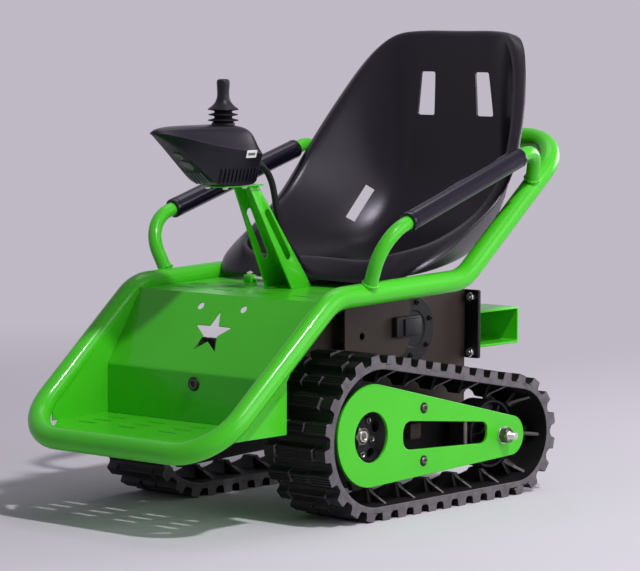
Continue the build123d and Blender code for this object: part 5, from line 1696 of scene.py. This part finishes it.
# Slots for the belts: two high in the back and one low in each side
BACK_SLOT = [(41.0, 655.0), (70.0, 655.0), (79.0, 584.0), (44.0, 584.0)]
LAP_SLOT = [(147.0, 279.0, 416.5), (136.9, 289.5, 408.3), (132.8, 336.8, 460.6), (142.2, 326.4, 469.5)]
LAP_OUT = (0.79, 0.48, -0.37)
slot_cutters = []
for side in (1, -1):
    outline = rounded_polygon([(side * x, z) for x, z in BACK_SLOT], 4.0, 5)
    slot_cutters.append(lofted("back_cutter", [[(x, y, z) for x, z in outline] for y in (330.0, 430.0)]))
    lap_out = Vector((side * LAP_OUT[0], *LAP_OUT[1:]))
    lap_corners = [Vector((side * x, y, z)) for x, y, z in LAP_SLOT]
    lap_rings = [[corner + lap_out * reach for corner in lap_corners] for reach in (-30.0, 30.0)]
    slot_cutters.append(lofted("lap_cutter", lap_rings))
seat = cut(seat, slot_cutters, 40)
finish_piece(seat, SEAT, stands_for=("seat_shell",))

stays = []
for side in (1, -1):
    x = side * 62.0
    stays.append(block("stay", (x - 13, 383.6, 540.4), (x + 13, 398.1, 558.4), 1.5))
stays = joined("seat_brackets", stays, 40)
finish_piece(stays, LIME, stands_for=("seat_stays",))

# Under the deck
def under_deck(y):
    return deck_z(y) - SHEET / math.cos(TILT) - 0.2


chassis_outline = [
    (-132.0, 100.0), (187.0, 80.0), (251.0, 80.0), (316.8, 122.0), (316.8, 308.0), (155.0, under_deck(155.0)),
    (-5.0, under_deck(-5.0)), (-132.0, 190.0),
]
chassis = plate(
    "chassis", rounded_polygon(chassis_outline, [0, 8, 8, 0, 0, 0, 0, 0]),
    [circle(*AXLE_F, FRONT_BORE, 32), circle(*AXLE_R, REAR_BORE, 28)],
    4.0, side_on(69.0), 0.6,
)
pair(chassis, "chassis_side", BROWN_GREY, stands_for=("chassis_plate",))

# Gear covers
cover_outline = rounded_polygon([(-12, 215), (144, 215), (144, 312), (-12, 312)], [10, 40, 14, 14], 10)
cover = plate("cover", cover_outline, [circle(29, 256, 5.5, 28)], 3.0, side_on(97.0), 0.8)
pair(cover, "gear_cover_sheet", BROWN_GREY, stands_for=("gear_cover",))
boss_profile = [(0.0, 0.0), (6.0, 0.0), (6.0, 23.7), (0.0, 23.7)]
bosses = joined("cover_bosses", [
    turned("boss", boss_profile, standing((73.2, y, z), (1, 0, 0)), 24)
    for y, z in ((10, 240), (10, 290), (96, 290))
], 30)
pair(bosses, "cover_boss", BLACK_COAT)
box_parts = [
    block("side_box_base", (100.0, 101.0, 249.0), (110.0, 160.0, 280.0), 1.5),
    block("side_box_lid", (108.0, 117.0, 251.0), (114.0, 157.0, 277.5), 1.5),
]
side_box_mesh = joined("cover_box", box_parts, 40)
pair(side_box_mesh, "cover_box", CAST)

# Motors
MOTOR_MID, MOTOR_R = (165.0, 257.0), 52.0
MOTOR_GROOVE_R = MOTOR_R - 1.4
motor_profile = [
    (0.0, 73.2), (MOTOR_R, 73.2), (MOTOR_R, 78.0),
    (MOTOR_GROOVE_R, 78.6), (MOTOR_GROOVE_R, 80.0), (MOTOR_R, 80.6),
    (MOTOR_R, 83.0), (MOTOR_GROOVE_R, 83.6), (MOTOR_GROOVE_R, 85.0), (MOTOR_R, 85.6), (MOTOR_R, 88.4),
    (MOTOR_R - 1.6, 90.0), (30.0, 90.0), (28.0, 88.6), (0.0, 88.6),
]
motor_set = []
for sign in (1, -1):
    motor_set.append(turned("motor", motor_profile, standing((0, *MOTOR_MID), (sign, 0, 0)), 64))
    for k in range(6):
        a = math.radians(60 * k + 20)
        spot = (sign * 89.9, MOTOR_MID[0] + 42 * math.cos(a), MOTOR_MID[1] + 42 * math.sin(a))
        motor_set.append(cap_screw("motor_screw", standing(spot, (sign, 0, 0)), 4.2, 3.6, 2.2))
motor_pair = joined("motor_pair", motor_set, 30)
finish_piece(motor_pair, BLACK_COAT, stands_for=("motors",))

# Battery
battery = block("battery_case", (-68.8, -45.0, 150.0), (68.8, 200.0, 321.0), 4.0)
seam = block("battery_seam", (-68.95, -45.6, 285.0), (68.95, 200.6, 289.0), 1.2)
battery = joined("battery_pack", [battery, seam], 40)
finish_piece(battery, BLACK_COAT, stands_for=("battery_box",))

# Rear plate and hitch
REAR_FACE_Y = 317.0
rear_sheet = plate(
    "rear_sheet", rounded_polygon([(-100, 198), (100, 198), (100, 308), (-100, 308)], 3.0),
    [], 7.0, in_plane((0, REAR_FACE_Y + 7.0, 0), (1, 0, 0), (0, 0, 1)), 0.8,
)
finish_piece(rear_sheet, BLACK_COAT, stands_for=("rear_plate",))
rear_stud_profile = [(0.0, 0.0), (3.9, 0.0), (3.9, 9.0), (3.2, 9.8), (0.0, 9.8)]
rear_bolts = []
for x in (-87.0, 87.0):
    for z in (207.5, 297.0):
        front_place = standing((x, REAR_FACE_Y + 0.05, z), (0, -1, 0))
        rear_bolts.append(hex_nut("rear_bolt", front_place, 13.0, 7.0, 4.0))
        rear_bolts.append(turned("rear_stud", rear_stud_profile, front_place, 24))
        back_place = standing((x, REAR_FACE_Y + 6.95, z), (0, 1, 0))
        rear_bolts.append(cap_screw("rear_screw", back_place, 6.5, 4.0, 3.0))
rear_fixings = joined("rear_fixings", rear_bolts, 28)
finish_piece(rear_fixings, ZINC)

hitch = plate(
    "hitch_channel", rounded_polygon([(324.2, 214), (432.15, 214), (432.15, 274), (324.2, 274)], 5.0),
    [rounded_polygon([(328.2, 218), (428.15, 218), (428.15, 270), (328.2, 270)], 2.5)],
    188.0, side_on(-94.0), 0.6,
)
finish_piece(hitch, LIME, stands_for=("hitch_box",))


# Floor, lights and camera
BACKDROP = (0.525, 0.487, 0.560)


def stage_finish():
    """Pale floor that keeps its shadow near the object and fades into the backdrop far away."""
    ground = Finish("pale_floor")
    cloud = ground.noise(1.3, 2.0)
    ground.set(
        Base_Color=ground.blend(cloud.above(0.5, 0.3) * 0.3, (0.68, 0.64, 0.72), (0.66, 0.62, 0.71)),
        Roughness=0.9,
        Normal=ground.bump(ground.noise(180.0, 2.0), 0.02, 0.0005),
    )
    seen = ground.add("ShaderNodeLightPath", out="Is Camera Ray")
    for kind in ("Is Glossy Ray", "Is Transmission Ray"):
        seen = seen.sum("MAXIMUM", seen, ground.add("ShaderNodeLightPath", out=kind))
    distance = ground.add("ShaderNodeVectorMath", {"operation": "LENGTH"}, {0: ground.place()}, "Value")
    far = seen * distance.above(1.9, 1.0)
    plain = ground.add("ShaderNodeEmission", None, {"Color": BACKDROP, "Strength": 1.0})
    surface = Value(ground, ground.surface.outputs[0])
    mixed = ground.add("ShaderNodeMixShader", None, {0: far, 1: surface, 2: plain})
    output = next(node for node in ground.tree.nodes if node.type == "OUTPUT_MATERIAL")
    ground.tree.links.new(mixed.link, output.inputs["Surface"])
    return ground.material


floor_mesh = bpy.data.meshes.new("floor")
floor_mesh.from_pydata([(-30, -30, 0), (30, -30, 0), (30, 30, 0), (-30, 30, 0)], [], [(0, 1, 2, 3)])
floor = bpy.data.objects.new("floor", floor_mesh)
scene.collection.objects.link(floor)
floor_mesh.materials.append(stage_finish())

world = bpy.data.worlds.new("studio")
scene.world = world
world.use_nodes = True
sky = world.node_tree
sky.nodes.clear()
path = sky.nodes.new("ShaderNodeLightPath")
shown = path.outputs["Is Camera Ray"]
for kind in ("Is Glossy Ray", "Is Transmission Ray"):
    either = sky.nodes.new("ShaderNodeMath")
    either.operation = "MAXIMUM"
    sky.links.new(shown, either.inputs[0])
    sky.links.new(path.outputs[kind], either.inputs[1])
    shown = either.outputs[0]
soft = sky.nodes.new("ShaderNodeBackground")
soft.inputs["Color"].default_value = (0.92, 0.90, 0.98, 1)
soft.inputs["Strength"].default_value = 0.12
seen = sky.nodes.new("ShaderNodeBackground")
seen.inputs["Color"].default_value = (*BACKDROP, 1)
seen.inputs["Strength"].default_value = 1.0
mix = sky.nodes.new("ShaderNodeMixShader")
end = sky.nodes.new("ShaderNodeOutputWorld")
sky.links.new(shown, mix.inputs[0])
sky.links.new(soft.outputs[0], mix.inputs[1])
sky.links.new(seen.outputs[0], mix.inputs[2])
sky.links.new(mix.outputs[0], end.inputs["Surface"])


def lamp(name, spot, aim, size, power):
    """A soft box that faces a point."""
    light = bpy.data.lights.new(name, "AREA")
    light.shape = "RECTANGLE"
    light.size, light.size_y = size
    light.energy = power
    obj = bpy.data.objects.new(name, light)
    scene.collection.objects.link(obj)
    obj.location = spot
    obj.rotation_euler = (Vector(aim) - Vector(spot)).to_track_quat("-Z", "Y").to_euler()


lamp("key_box", (2.24, -0.5, 3.58), (0, 0, 0.3), (0.22, 0.22), 96.0)
lamp("side_box", (4.2, 0.9, 1.7), (0, 0, 0.3), (4.0, 2.6), 88.0)
lamp("overhead_box", (-0.3, 1.0, 3.0), (0, 0, 0.3), (1.6, 0.9), 8.0)
lamp("rear_box", (0.9, 3.6, 1.1), (0.3, 0.3, 0.1), (2.4, 1.4), 60.0)

# The camera, in metres, was fitted to the photo
PHOTO_WIDTH, FOCAL_PIXELS, SENSOR_WIDTH = 640.0, 2996.0, 36.0
camera_data = bpy.data.cameras.new("camera")
camera = bpy.data.objects.new("camera", camera_data)
scene.collection.objects.link(camera)
scene.camera = camera
camera_data.sensor_width = SENSOR_WIDTH
camera_data.lens = FOCAL_PIXELS / PHOTO_WIDTH * SENSOR_WIDTH
YAW, PITCH, ROLL = math.radians(40.95), math.radians(5.07), math.radians(0.15)
camera.location = (3.0417, -3.4599, 0.7392)
ahead = Vector((-math.sin(YAW) * math.cos(PITCH), math.cos(YAW) * math.cos(PITCH), -math.sin(PITCH)))
right = Vector((math.cos(YAW), math.sin(YAW), 0))
above = right.cross(ahead)
level_right = right * math.cos(ROLL) + above * math.sin(ROLL)
level_up = -right * math.sin(ROLL) + above * math.cos(ROLL)
camera.rotation_euler = Matrix((level_right, level_up, -ahead)).transposed().to_euler()

scene.view_settings.view_transform = "Standard"
